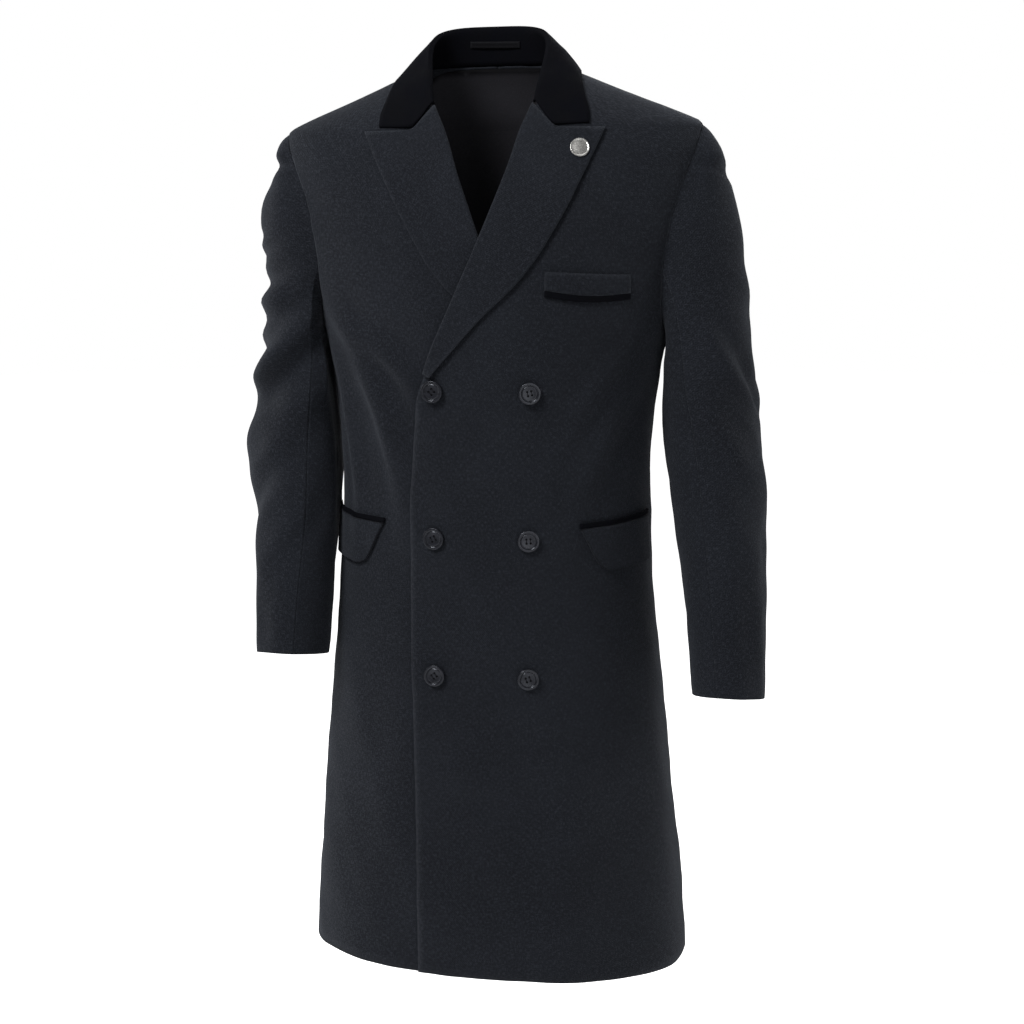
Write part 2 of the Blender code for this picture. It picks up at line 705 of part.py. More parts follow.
def armhole_point(turn, crown):
    """Angle and height where a sleeve starts in the armhole. Turn 0 is its top, a quarter turn its front."""
    middle = (ARMHOLE_TOP + ARMHOLE_BOTTOM) / 2.0
    inset = ARMHOLE_INSET * (1.0 - crown**4) - CROWN_TUCK * crown**4
    half = (ARMHOLE_TOP - ARMHOLE_BOTTOM) / 2.0 - inset
    height = middle + half * math.cos(turn)
    face = "front" if math.sin(turn) > 0 else "back"
    side_gap = inset / ARMHOLE_RADIUS
    reach = max(ARMHOLE_REACH[face] - side_gap, 0.0) * abs(math.sin(turn)) ** (2.0 * ARMHOLE_FULLNESS)
    angle = SIDE - reach if face == "front" else SIDE + reach
    return angle, height


def arm_ring(arm, turn, height):
    """Point of a sleeve's section, before it is kept clear of the body."""
    out = through(arm, ARM_OUT, height) + through(arm, ARM_HALF_WIDTH, height) * np.cos(turn)
    forward = through(arm, ARM_FORWARD, height) + through(arm, ARM_HALF_DEPTH, height) * np.sin(turn)
    return np.array([float(out), -float(forward), float(height)])


def kept_clear(point, clear):
    """The point moved out from the mid-line until it is clear of the body's ring."""
    x, y, z = point
    half = float(through(BODY, HALF_WIDTH, z)) + clear
    depth = float(through(BODY, FRONT_DEPTH if y < 0 else BACK_DEPTH, z)) + clear
    share = ((abs(x) / half) ** SQUARENESS + (abs(y) / depth) ** SQUARENESS) ** (1.0 / SQUARENESS)
    if share >= 1.0:
        return point
    reach = half * (1.0 - min(abs(y) / depth, 0.999) ** SQUARENESS) ** (1.0 / SQUARENESS)
    return np.array([max(reach, x), y, z])


def sleeve_grid(side, turns):
    """Shown face of a sleeve between two seams, from the armhole to the cuff, as on the wearer's left."""
    arm = ARMS[side][::-1]
    top = ARMS[side][0, 0]
    cuff = ARMS[side][-1, 0]
    rows = [[] for _ in range(CAP_ROWS + ARM_ROWS + 1)]
    for turn in turns:
        crown = max(math.cos(turn), 0.0) ** 2
        angle, height = armhole_point(turn, crown)
        start = body_point(np.array(angle), np.array(height), -START_SINK - CROWN_SINK * crown)
        normal = body_normal(np.array(angle), np.array(height))
        leave = normal * (CAP_FLAT + (CAP_OUT - CAP_FLAT) * crown)
        leave = leave + np.array([0.0, 0.0, -CAP_DOWN]) * (1.0 - crown)
        land = arm_ring(arm, turn, top)
        high = (1.0 + math.cos(turn)) / 2.0
        fall = np.array([0.0, 0.0, -CAP_END * (CAP_LEAST_FALL + (1.0 - CAP_LEAST_FALL) * high)])
        for i in range(CAP_ROWS):
            t = (i / CAP_ROWS) ** CAP_CROWDING
            point = (2 * t**3 - 3 * t**2 + 1) * start + (t**3 - 2 * t**2 + t) * leave
            point = point + (3 * t**2 - 2 * t**3) * land + (t**3 - t**2) * fall
            rope = CAP_ROPE * crown * math.exp(-(((t - CAP_ROPE_AT) / CAP_ROPE_WIDE) ** 2))
            point = point + unit(normal + np.array([0.0, 0.0, CAP_ROPE_UP])) * rope
            clear = ARM_CLEAR * float(ease(CAP_CLEAR_FROM, CAP_CLEAR_FULL, t))
            rows[i].append(kept_clear(point, clear) if t > CAP_CLEAR_FROM else point)
        for i in range(ARM_ROWS + 1):
            share = i / ARM_ROWS
            height = top + (cuff - top) * share
            point = kept_clear(arm_ring(arm, turn, height), ARM_CLEAR)
            tilt = CUFF_TILT * share**3 * math.sin(turn)
            rows[CAP_ROWS + i].append(point + np.array([0.0, 0.0, tilt]))
    grid = np.array(rows)
    degrees = np.degrees(np.array(turns))[None, :]
    fade = ease(0.0, FOLD_FADE_ROWS, np.arange(len(rows)))[:, None]
    folds = fold_height(ARM_FOLDS[side], degrees, grid[..., 2], SLEEVE_RADIUS) * fade
    return grid + grid_normals(grid) * folds[..., None]


def sleeve(side, name, first_seam, last_seam, columns):
    """One half of a two-piece sleeve."""
    trim = SEAM_GAP / SLEEVE_RADIUS
    turns = np.linspace(first_seam + trim, last_seam - trim, columns)
    step = turns[1] - turns[0]
    turns = np.concatenate([[turns[0] - step], turns, [turns[-1] + step]])
    grid = sleeve_grid(side, turns) * np.array([hand_of(side), 1.0, 1.0])
    sheet(name + "_sleeve_" + side, grid, WOOL_WALL, "wool", -hand_of(side), spare=1)
    return grid


def lathe(name, profile, sides, place, normal, finish):
    """A turned piece that stands on a face: profile of radius and height, closed at both ends."""
    normal = unit(np.asarray(normal, float))
    aside = unit(np.cross(normal, [0.0, 0.0, 1.0]))
    upward = np.cross(aside, normal)
    place = leaned(np.asarray(place, float))
    points = [place + normal * profile[0][1]]
    for radius, height in profile[1:-1]:
        for k in range(sides):
            turn = 2.0 * math.pi * k / sides
            spoke = aside * math.cos(turn) + upward * math.sin(turn)
            points.append(place + normal * height + spoke * radius)
    points.append(place + normal * profile[-1][1])
    rings = len(profile) - 2
    faces = []
    for k in range(sides):
        after = (k + 1) % sides
        faces.append((0, 1 + k, 1 + after))
        for ring in range(rings - 1):
            a = 1 + ring * sides
            faces.append((a + k, a + sides + k, a + sides + after, a + after))
        last = 1 + (rings - 1) * sides
        faces.append((len(points) - 1, last + after, last + k))
    points = np.array(points)
    return add_object(name, points, facing_out(points, faces), finish)


def button(name, place, normal, radius):
    """A dished button with four holes cut through it."""
    scale = radius / BUTTON_RADIUS
    profile = [
        (0.0, 0.0),
        (radius * BUTTON_FOOT, 0.0),
        (radius, BUTTON_THICK * BUTTON_WAIST),
        (radius * BUTTON_TOP, BUTTON_THICK),
        (radius - BUTTON_RIM * scale, BUTTON_THICK - BUTTON_DISH),
        (0.0, BUTTON_THICK - BUTTON_DISH),
    ]
    made = lathe(name, profile, BUTTON_SIDES, place, normal, "button")
    normal = unit(np.asarray(normal, float))
    aside = unit(np.cross(normal, [0.0, 0.0, 1.0]))
    upward = np.cross(aside, normal)
    for k, (right, up) in enumerate(((1, 1), (-1, 1), (-1, -1), (1, -1))):
        centre = np.asarray(place) + (aside * right + upward * up) * HOLE_SPREAD * scale
        drill = [(0.0, DRILL_FROM), (HOLE_RADIUS, DRILL_FROM), (HOLE_RADIUS, DRILL_TO), (0.0, DRILL_TO)]
        cutter = lathe(f"{name}_hole_{k}", drill, HOLE_SIDES, centre, normal, "button")
        cutter.hide_render = True
        cutter.display_type = "WIRE"
        cut = made.modifiers.new(f"hole {k}", "BOOLEAN")
        cut.operation = "DIFFERENCE"
        cut.solver = "EXACT"
        cut.object = cutter
    return made


def front_button(name, across, height):
    angle = front_angle(np.array(across), np.array(height))
    lift = left_lift(np.array(across), np.array(height))
    place = body_point(angle, np.array(height), lift + BUTTON_GAP)
    return button(name, place, body_normal(angle, np.array(height)), BUTTON_RADIUS)


def flap(side):
    """Pocket flap, with its front edge slanting back and its lower corners rounded."""
    rows = []
    for drop in FLAP_STEPS:
        height = np.full(FLAP_COLUMNS, FLAP_TOP - FLAP_TALL * drop)
        low = max(drop - FLAP_CORNER_FROM, 0.0) / (1.0 - FLAP_CORNER_FROM)
        cut = FLAP_CORNER * (1.0 - math.sqrt(max(1.0 - low * low, 0.0)))
        across = FLAP_FRONT_ACROSS + FLAP_SLANT * drop + cut
        start = float(front_angle(np.array(across), height[0]))
        turns = np.linspace(start, FLAP_END - cut * FLAP_END_CORNER, FLAP_COLUMNS)
        spread = ring_point(turns, height)[:, 0]
        out = lift_of(side, spread, height) + POCKET_FACE + FLAP_LIFT * drop
        rows.append(body_point(hand_of(side) * turns, height, out))
    return sheet("flap_" + side, np.array(rows), TRIM_WALL, "wool", hand_of(side))


def jetting(side):
    """Velvet jetting along the top of a flap."""
    rows = []
    for level in (FLAP_TOP + TRIM_GAP, FLAP_TOP + TRIM_GAP + JETTING_TALL):
        height = np.full(FLAP_COLUMNS, level)
        start = float(front_angle(np.array(FLAP_FRONT_ACROSS - JETTING_OVERHANG), height[0]))
        turns = np.linspace(start, FLAP_END, FLAP_COLUMNS)
        spread = ring_point(turns, height)[:, 0]
        out = lift_of(side, spread, height) + POCKET_FACE
        rows.append(body_point(hand_of(side) * turns, height, out))
    return sheet("jetting_" + side, np.array(rows), TRIM_WALL, "velvet", -hand_of(side))


def chest_welt():
    """Chest welt and the velvet strip along its lower edge."""
    low = WELT_TOP - WELT_TALL
    foot = low - TRIM_GAP
    edge = foot - WELT_VELVET_TALL
    for name, finish, bottom, top, sags in (
        ("chest_welt", "wool", low, WELT_TOP, (1.0, 0.0)),
        ("chest_welt_velvet", "velvet", edge, foot, (1.0, 1.0)),
    ):
        share = np.linspace(0.0, 1.0, WELT_COLUMNS)
        across = WELT_FROM + (WELT_TO - WELT_FROM) * share
        rows = []
        for level, sag in zip((bottom, top), sags):
            height = level - WELT_SLOPE * share - WELT_SAG * np.sin(math.pi * share) * sag
            rows.append(on_front("left", across, height, LAY_GAP + TRIM_WALL))
        sheet(name, np.array(rows), TRIM_WALL, finish, -1.0)


def back_lining():
    """Lining inside the upper back, as far as the open neck shows it."""
    heights = panel_heights()
    heights = heights[heights > LINING_BOTTOM]
    turns = math.pi + np.linspace(-LINING_HALF_TURN, LINING_HALF_TURN, BACK_COLUMNS)
    out = -(WOOL_WALL + LINING_GAP)
    grid = body_point(turns[None, :], heights[:, None], out)
    sheet("back_lining", grid, LINING_WALL, "lining", -1.0)


def hanger_loop(collar):
    """Ribbon loop across the inside of the collar stand."""
    middle = COLLAR_STATIONS
    stand = leaned(collar[:, 1])
    rows = []
    share = np.linspace(-1.0, 1.0, LOOP_COLUMNS)
    across = stand[middle, 0] + LOOP_HALF * share
    near = stand[middle - LOOP_REACH : middle + LOOP_REACH + 1]
    near = near[np.argsort(near[:, 0])]
    depth = np.interp(across, near[:, 0], near[:, 1])
    for level in (-0.5, 0.5):
        height = np.full(LOOP_COLUMNS, LOOP_HEIGHT + level * LOOP_TALL)
        y = depth - LOOP_BOW * (1.0 - share**2) - LOOP_GAP
        rows.append(np.stack([across, y, height], axis=-1))
    grid = np.array(rows)
    unlean = grid - (leaned(grid) - grid)
    sheet("hanger_loop", unlean, LOOP_WALL, "lining", 1.0)


def lapel_pin():
    """Plain round pin on the left lapel."""
    across, height = (np.array(value) for value in PIN_PLACE)
    profile = [
        (0.0, 0.0),
        (PIN_RADIUS * PIN_FOOT, 0.0),
        (PIN_RADIUS, PIN_THICK * PIN_WAIST),
        (PIN_RADIUS * PIN_TOP, PIN_THICK),
        (0.0, PIN_THICK),
    ]
    seat = on_front("left", across, height, PIN_SEAT)
    lathe("lapel_pin", profile, PIN_SIDES, seat, body_normal(front_angle(across, height), height), "silver")


def build():
    clear_scene()
    for side in ("left", "right"):
        front_panel(side)
        back_panel(side)
        flap(side)
        jetting(side)
        sheet("lapel_" + side, lapel_grid(side), LAPEL_WALL, "wool", -hand_of(side))
    collar = collar_grid()
    sheet("collar", collar, COLLAR_WALL, "velvet", 1.0)
    back_lining()
    hanger_loop(collar)
    chest_welt()
    for side in ("left", "right"):
        top = sleeve(side, "top", HIND_SEAM, FRONT_SEAM, TOP_SLEEVE_COLUMNS)
        sleeve(side, "under", FRONT_SEAM, HIND_SEAM + 2.0 * math.pi, UNDER_SLEEVE_COLUMNS)
        seat = top[CUFF_BUTTON_ROW, CUFF_BUTTON_COLUMN]
        normal = grid_normals(top)[CUFF_BUTTON_ROW, CUFF_BUTTON_COLUMN] * hand_of(side)
        button("cuff_button_" + side, seat + normal * CUFF_BUTTON_GAP, normal, CUFF_BUTTON_RADIUS)
    for number, height in enumerate(BUTTON_ROWS, start=1):
        for column, across in BUTTON_ACROSS.items():
            front_button(f"button_{number}_{column}", across, height)
    lapel_pin()


build()
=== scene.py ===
# %% [markdown]
# # Dressing a double-breasted overcoat
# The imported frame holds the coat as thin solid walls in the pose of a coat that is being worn. This lesson
# turns those walls into wool, velvet and lining, gives them their folds and seams, models the buttons and
# the pin by hand, and sets up a plain studio around them.

# %% Load the frame
import json
import math

import bpy
import numpy as np
from mathutils import Matrix, Vector
from mathutils.kdtree import KDTree

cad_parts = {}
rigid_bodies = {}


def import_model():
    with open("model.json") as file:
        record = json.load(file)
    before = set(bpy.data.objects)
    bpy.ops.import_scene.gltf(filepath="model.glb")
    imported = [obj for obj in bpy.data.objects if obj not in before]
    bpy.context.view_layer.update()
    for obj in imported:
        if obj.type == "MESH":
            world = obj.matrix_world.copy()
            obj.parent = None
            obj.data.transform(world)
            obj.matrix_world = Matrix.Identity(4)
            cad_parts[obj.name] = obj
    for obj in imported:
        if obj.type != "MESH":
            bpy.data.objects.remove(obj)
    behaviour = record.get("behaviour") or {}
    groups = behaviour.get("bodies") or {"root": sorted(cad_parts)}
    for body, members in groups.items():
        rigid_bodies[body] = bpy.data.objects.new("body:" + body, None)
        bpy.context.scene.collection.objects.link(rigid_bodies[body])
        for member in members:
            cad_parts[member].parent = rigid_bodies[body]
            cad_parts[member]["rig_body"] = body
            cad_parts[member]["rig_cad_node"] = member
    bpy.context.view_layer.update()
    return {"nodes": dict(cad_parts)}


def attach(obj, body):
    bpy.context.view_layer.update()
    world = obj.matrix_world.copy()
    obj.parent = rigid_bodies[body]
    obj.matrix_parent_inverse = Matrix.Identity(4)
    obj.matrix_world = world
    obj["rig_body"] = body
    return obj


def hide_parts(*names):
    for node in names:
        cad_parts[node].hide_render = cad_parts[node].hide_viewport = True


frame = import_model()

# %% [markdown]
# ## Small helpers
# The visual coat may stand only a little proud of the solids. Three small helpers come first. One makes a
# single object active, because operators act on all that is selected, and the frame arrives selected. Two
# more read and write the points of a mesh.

NODES = frame["nodes"]


def only(piece):
    """Selects one object and makes it active."""
    bpy.ops.object.select_all(action="DESELECT")
    piece.select_set(True)
    bpy.context.view_layer.objects.active = piece


def points_of(piece):
    """The points of a mesh, one to a row."""
    flat = np.empty(len(piece.data.vertices) * 3)
    piece.data.vertices.foreach_get("co", flat)
    return flat.reshape(-1, 3)


def move_to(piece, points):
    """Puts the points of a mesh in new places."""
    piece.data.vertices.foreach_set("co", points.ravel())
    piece.data.update()


bpy.ops.object.select_all(action="DESELECT")

# %% [markdown]
# ## Camera, light and floor
# The photograph looks at the coat from a little to the wearer's left and from about the height of the
# shoulders, with a longish lens. A camera could be placed by eye, but its place was measured against the
# outline of the solids, so it is written down. A strong soft light stands high at the viewer's left, and a
# weak one fills in from the right. One more hangs above the coat, one at each side brightens its edges, and
# one lights its back. The floor lies where a wearer would stand.

# %% Camera at the photograph's angle
CAMERA_TURN = math.radians(8.0)
CAMERA_AWAY = 2.0
CAMERA_HEIGHT = -0.06
AIM = Vector((0.0, 0.0, -0.47))
LENS = 64.86
SHIFT_ACROSS = 0.01465

place = Vector((CAMERA_AWAY * math.sin(CAMERA_TURN), -CAMERA_AWAY * math.cos(CAMERA_TURN), CAMERA_HEIGHT))
bpy.ops.object.camera_add(location=place, rotation=(AIM - place).to_track_quat("-Z", "Y").to_euler())
camera = bpy.context.active_object
camera.name = "studio_camera"
camera.data.lens = LENS
camera.data.shift_x = SHIFT_ACROSS
bpy.context.scene.camera = camera
print("camera:", [round(v, 3) for v in camera.location])

# %% Lights
# name: place, aim, size, power
LIGHTS = {
    "key_window": ((-1.2, -1.9, 1.7), (0.0, 0.0, -0.35), 1.1, 76.0),
    "fill_window": ((1.2, -2.4, -0.1), (0.0, 0.0, -0.5), 1.6, 9.0),
    "top_window": ((0.0, 0.4, 1.9), (0.0, 0.0, -0.3), 1.4, 12.0),
    "left_edge": ((-2.2, 0.7, 0.1), (-0.1, 0.0, -0.4), 1.4, 23.0),
    "right_edge": ((2.2, 0.8, 0.1), (0.1, 0.0, -0.4), 1.4, 21.0),
    "back_window": ((0.3, 2.6, 0.6), (0.0, 0.0, -0.4), 1.6, 20.0),
}
for name, (spot, aim, size, power) in LIGHTS.items():
    turn = (Vector(aim) - Vector(spot)).to_track_quat("-Z", "Y").to_euler()
    bpy.ops.object.light_add(type="AREA", location=spot, rotation=turn)
    lamp = bpy.context.active_object
    lamp.name = name
    lamp.data.size = size
    lamp.data.energy = power
print("lights:", len(LIGHTS))

# %% Sky and floor
# A white room would light the coat from all round and wash its folds out, so sky and floor light it less
# than they show.
WHITE = (1.0, 1.0, 1.0, 1.0)
SKY_SEEN = 1.0
SKY_LIGHT = 0.16
FLOOR_LEVEL = -1.42
FLOOR_RADIUS = 9.0
FLOOR_SIDES = 96
FLOOR_COLOUR = (0.88, 0.88, 0.88, 1.0)
FLOOR_SEEN = 0.93
FLOOR_LIGHT = 0.12


def shown_more(tree, light, shown):
    """A strength that is higher for what the camera sees than for what lights the coat."""
    path = tree.nodes.new("ShaderNodeLightPath")
    strength = tree.nodes.new("ShaderNodeMapRange")
    strength.inputs["To Min"].default_value = light
    strength.inputs["To Max"].default_value = shown
    tree.links.new(path.outputs["Is Camera Ray"], strength.inputs["Value"])
    return strength.outputs["Result"]


world = bpy.data.worlds.new("studio_sky")
world.use_nodes = True
sky_tree = world.node_tree
sky = sky_tree.nodes["Background"]
sky.inputs["Color"].default_value = WHITE
sky_tree.links.new(shown_more(sky_tree, SKY_LIGHT, SKY_SEEN), sky.inputs["Strength"])
bpy.context.scene.world = world
bpy.context.scene.view_settings.view_transform = "Standard"

bpy.ops.mesh.primitive_circle_add(
    vertices=FLOOR_SIDES, radius=FLOOR_RADIUS, fill_type="NGON", location=(0.0, 0.0, FLOOR_LEVEL)
)
floor = bpy.context.active_object
floor.name = "pale_floor"
floor_paint = bpy.data.materials.new("floor_paint")
floor_paint.use_nodes = True
floor_tree = floor_paint.node_tree
floor_shader = floor_tree.nodes["Principled BSDF"]
floor_shader.inputs["Base Color"].default_value = FLOOR_COLOUR
floor_shader.inputs["Roughness"].default_value = 0.9
floor_shader.inputs["Emission Color"].default_value = WHITE
floor_glow = shown_more(floor_tree, FLOOR_LIGHT, FLOOR_SEEN)
floor_tree.links.new(floor_glow, floor_shader.inputs["Emission Strength"])
floor.data.materials.append(floor_paint)
print("floor at", FLOOR_LEVEL)

# %% [markdown]
# ## Finishes
# Coating wool is woven from yarns of mixed dark and pale fibres, so close up it is a speckle of short
# flecks along the two thread directions, with a faint twill rib and a soft nap that catches light at the
# edges. An image of cloth could be wrapped on, but a procedural weave stays sharp at any distance. The
# weave reads a thread map, a UV map in metres that follows each panel, and is built once as a node group.

# %% Node helpers
def add_node(tree, kind, **settings):
    made = tree.nodes.new(kind)
    for key, value in settings.items():
        setattr(made, key, value)
    return made


def plug(tree, source, target):
    tree.links.new(source, target)


def tune(made, settings):
    """Sets inputs of a node by their labels."""
    for label, value in settings.items():
        made.inputs[label].default_value = value


def place_in(tree):
    """The place of a point in its own object."""
    return add_node(tree, "ShaderNodeTexCoord").outputs["Object"]


def maths(tree, operation, first, second):
    """A Math node; first and second are sockets or plain numbers."""
    made = add_node(tree, "ShaderNodeMath", operation=operation)
    for socket, value in zip(made.inputs, (first, second)):
        if isinstance(value, (int, float)):
            socket.default_value = value
        else:
            plug(tree, value, socket)
    return made.outputs[0]


def stretch(tree, vector, scale):
    """The vector with each axis multiplied."""
    made = add_node(tree, "ShaderNodeVectorMath", operation="MULTIPLY")
    plug(tree, vector, made.inputs[0])
    made.inputs[1].default_value = scale
    return made.outputs[0]


def noise_of(tree, vector, scale, detail):
    made = add_node(tree, "ShaderNodeTexNoise", noise_dimensions="3D")
    plug(tree, vector, made.inputs["Vector"])
    tune(made, {"Scale": scale, "Detail": detail})
    return made.outputs["Fac"]


def between(tree, value, low, high, to_low=0.0, to_high=1.0):
    """A smooth step from one range of values to another."""
    made = add_node(tree, "ShaderNodeMapRange", interpolation_type="SMOOTHSTEP")
    plug(tree, value, made.inputs["Value"])
    tune(made, {"From Min": low, "From Max": high, "To Min": to_low, "To Max": to_high})
    return made.outputs["Result"]


def blended(tree, share, first, second):
    """Colour mix; each colour is a socket or a plain colour."""
    made = add_node(tree, "ShaderNodeMix", data_type="RGBA")
    plug(tree, share, made.inputs[0])
    for socket, colour in zip((made.inputs[6], made.inputs[7]), (first, second)):
        if isinstance(colour, tuple):
            socket.default_value = colour
        else:
            plug(tree, colour, socket)
    return made.outputs[2]


def relief(tree, shader, height, strength, reach):
    """A bump on a shader, from a height."""
    bump = add_node(tree, "ShaderNodeBump")
    tune(bump, {"Strength": strength, "Distance": reach})
    plug(tree, height, bump.inputs["Height"])
    plug(tree, bump.outputs["Normal"], shader.inputs["Normal"])


def new_group(name, inputs, outputs):
    """An empty node group, its input node and its output node."""
    tree = bpy.data.node_groups.new(name, "ShaderNodeTree")
    for label, kind in inputs:
        tree.interface.new_socket(label, in_out="INPUT", socket_type=kind)
    for label, kind in outputs:
        tree.interface.new_socket(label, in_out="OUTPUT", socket_type=kind)
    return tree, tree.nodes.new("NodeGroupInput"), tree.nodes.new("NodeGroupOutput")


COLOUR, VECTOR, FLOAT = "NodeSocketColor", "NodeSocketVector", "NodeSocketFloat"

# %% The weave, shared by wool and lining
WARP_FLECK = (1350.0, 230.0, 1.0)
WEFT_FLECK = (230.0, 1350.0, 1.0)
FLECK_DETAIL = 1.5
FLECK_FROM, FLECK_FULL = 0.50, 0.76
FLECK_HIGH = 0.6
RIB_SCALE = 240.0
RIB_SHADE, RIB_HIGH = 0.10, 0.4
CLOUD_SCALE = 9.0
CLOUD_SHADE = 0.03
ROUGH_GROUND, ROUGH_FLECK = 0.96, 0.80

weave, weave_in, weave_out = new_group(
    "woven_cloth",
    [("Threads", VECTOR), ("Dark", COLOUR), ("Pale", COLOUR), ("Fleck", FLOAT)],
    [("Colour", COLOUR), ("Height", FLOAT), ("Roughness", FLOAT)],
)
threads = weave_in.outputs["Threads"]
warp = noise_of(weave, stretch(weave, threads, WARP_FLECK), 1.0, FLECK_DETAIL)
weft = noise_of(weave, stretch(weave, threads, WEFT_FLECK), 1.0, FLECK_DETAIL)
rib = add_node(weave, "ShaderNodeTexWave", wave_type="BANDS", bands_direction="DIAGONAL")
plug(weave, threads, rib.inputs["Vector"])
tune(rib, {"Scale": RIB_SCALE, "Distortion": 1.2, "Detail": 1.0})
ribs = rib.outputs["Fac"]
flecks = between(weave, maths(weave, "MAXIMUM", warp, weft), FLECK_FROM, FLECK_FULL)
clouds = noise_of(weave, threads, CLOUD_SCALE, 3.0)
shade = maths(weave, "MULTIPLY", flecks, weave_in.outputs["Fleck"])
shade = maths(weave, "ADD", shade, maths(weave, "MULTIPLY", ribs, RIB_SHADE))
shade = maths(weave, "ADD", shade, between(weave, clouds, 0.35, 0.65, -CLOUD_SHADE, CLOUD_SHADE))
yarn_colour = blended(weave, shade, weave_in.outputs["Dark"], weave_in.outputs["Pale"])
plug(weave, yarn_colour, weave_out.inputs["Colour"])
fleck_height = maths(weave, "MULTIPLY", flecks, FLECK_HIGH)
rib_height = maths(weave, "MULTIPLY", ribs, RIB_HIGH)
plug(weave, maths(weave, "ADD", fleck_height, rib_height), weave_out.inputs["Height"])
plug(weave, between(weave, flecks, 0.0, 1.0, ROUGH_GROUND, ROUGH_FLECK), weave_out.inputs["Roughness"])
print("group:", weave.name, len(weave.nodes), "nodes")

# %% The edge colour, shared by every cloth
# Cloth is ironed flat where it turns in at a seam or an edge. On the wool the colour along that edge is
# paler:
# fibres rubbed a little, and a painted highlight along the edge. The ribbon too is paler at its edges. On
# flaps, sleeves and the lining's top it is darker, a painted shade like the shadow in a seam or under a
# turned edge.
EDGE_WIDE = 0.0040

edge_shading, edge_shading_in, edge_shading_out = new_group(
    "edge_rub_and_shade",
    [("Colour", COLOUR), ("Rub and shading", COLOUR), ("Edge", FLOAT), ("Amount", FLOAT)],
    [("Colour", COLOUR)],
)
near = between(edge_shading, edge_shading_in.outputs["Edge"], 0.0, EDGE_WIDE, 1.0, 0.0)
mask = maths(edge_shading, "MULTIPLY", near, edge_shading_in.outputs["Amount"])
edge_colour = blended(edge_shading, mask, edge_shading_in.outputs["Colour"], edge_shading_in.outputs["Rub and shading"])
plug(edge_shading, edge_colour, edge_shading_out.inputs["Colour"])
print("group:", edge_shading.name)

# %% Wool, lining and ribbon
YARN_BUMP = 0.0006


def new_material(name):
    """A material, its node tree and its shader."""
    made = bpy.data.materials.new(name)
    made.use_nodes = True
    return made, made.node_tree, made.node_tree.nodes["Principled BSDF"]


def woven_material(name, dark, pale, rub_and_shading, fleck, edge, bump):
    """Cloth made of the weave and an edge colour of rub, painted highlight and painted shade; fleck, edge and
    bump say how much of each shows.
    """
    made, tree, shader = new_material(name)
    uv = add_node(tree, "ShaderNodeUVMap", uv_map="threads")
    yarns = add_node(tree, "ShaderNodeGroup", node_tree=weave)
    plug(tree, uv.outputs["UV"], yarns.inputs["Threads"])
    tune(yarns, {"Dark": dark, "Pale": pale, "Fleck": fleck})
    seam = add_node(tree, "ShaderNodeAttribute", attribute_name="edge")
    rub_and_shade = add_node(tree, "ShaderNodeGroup", node_tree=edge_shading)
    plug(tree, yarns.outputs["Colour"], rub_and_shade.inputs["Colour"])
    plug(tree, seam.outputs["Fac"], rub_and_shade.inputs["Edge"])
    tune(rub_and_shade, {"Rub and shading": rub_and_shading, "Amount": edge})
    plug(tree, rub_and_shade.outputs["Colour"], shader.inputs["Base Color"])
    plug(tree, yarns.outputs["Roughness"], shader.inputs["Roughness"])
    relief(tree, shader, yarns.outputs["Height"], bump, YARN_BUMP)
    return made, shader


WOOL_DARK, WOOL_PALE = (0.0063, 0.0073, 0.0101, 1.0), (0.0360, 0.0415, 0.0545, 1.0)
# The wool's edge colour is paler than its yarn: fibres rubbed at the turned edges, and a painted highlight
# along them.
wool, wool_shader = woven_material(
    "charcoal_wool",
    dark=WOOL_DARK, pale=WOOL_PALE, rub_and_shading=(0.0280, 0.0315, 0.0395, 1.0), fleck=0.46, edge=0.18, bump=0.60,
)
# Flaps and sleeves are the same wool, with a painted shade along the edges where the flaps turn in and where
# the sleeves are sewn in.
painted_shade_edge_wool, painted_shade_edge_shader = woven_material(
    "charcoal_wool_painted_shade_edge",
    dark=WOOL_DARK, pale=WOOL_PALE, rub_and_shading=(0.0020, 0.0021, 0.0030, 1.0), fleck=0.46, edge=0.90, bump=0.60,
)
for shader in (wool_shader, painted_shade_edge_shader):
    tune(shader, {
        "Specular IOR Level": 0.14, "Sheen Weight": 0.08, "Sheen Roughness": 0.45,
        "Sheen Tint": (0.62, 0.68, 0.80, 1.0),
    })

# The edge of the lining is painted black where it is sewn in below the collar: a painted shade.
lining_cloth, lining_shader = woven_material(
    "lining_satin",
    dark=(0.0330, 0.0325, 0.0385, 1.0), pale=(0.0680, 0.0670, 0.0790, 1.0),
    rub_and_shading=(0.0020, 0.0020, 0.0024, 1.0), fleck=0.30, edge=0.95, bump=0.15,
)
tune(lining_shader, {"Specular IOR Level": 0.12, "Anisotropic": 0.4})

ribbon, ribbon_shader = woven_material(
    "loop_ribbon",
    dark=(0.0030, 0.0031, 0.0040, 1.0), pale=(0.0110, 0.0112, 0.0135, 1.0),
    rub_and_shading=(0.0170, 0.0175, 0.0200, 1.0), fleck=0.35, edge=0.35, bump=0.25,
)
tune(ribbon_shader, {"Specular IOR Level": 0.08})
print("materials:", wool.name, lining_cloth.name, ribbon.name)

# %% [markdown]
# Velvet is a short upright pile. It looks almost black from the front, because light goes down between the
# hairs, and shows a faint bloom where the pile leans. A deep base, a fine noise for the pile and a little
# sheen give that.

# %% Velvet
PILE_SCALE = 1400.0
PILE_BUMP = 0.0005
PILE_DEEP, PILE_BLOOM = (0.0010, 0.0011, 0.0018, 1.0), (0.0060, 0.0065, 0.0100, 1.0)
BRUSHED_SCALE = 35.0

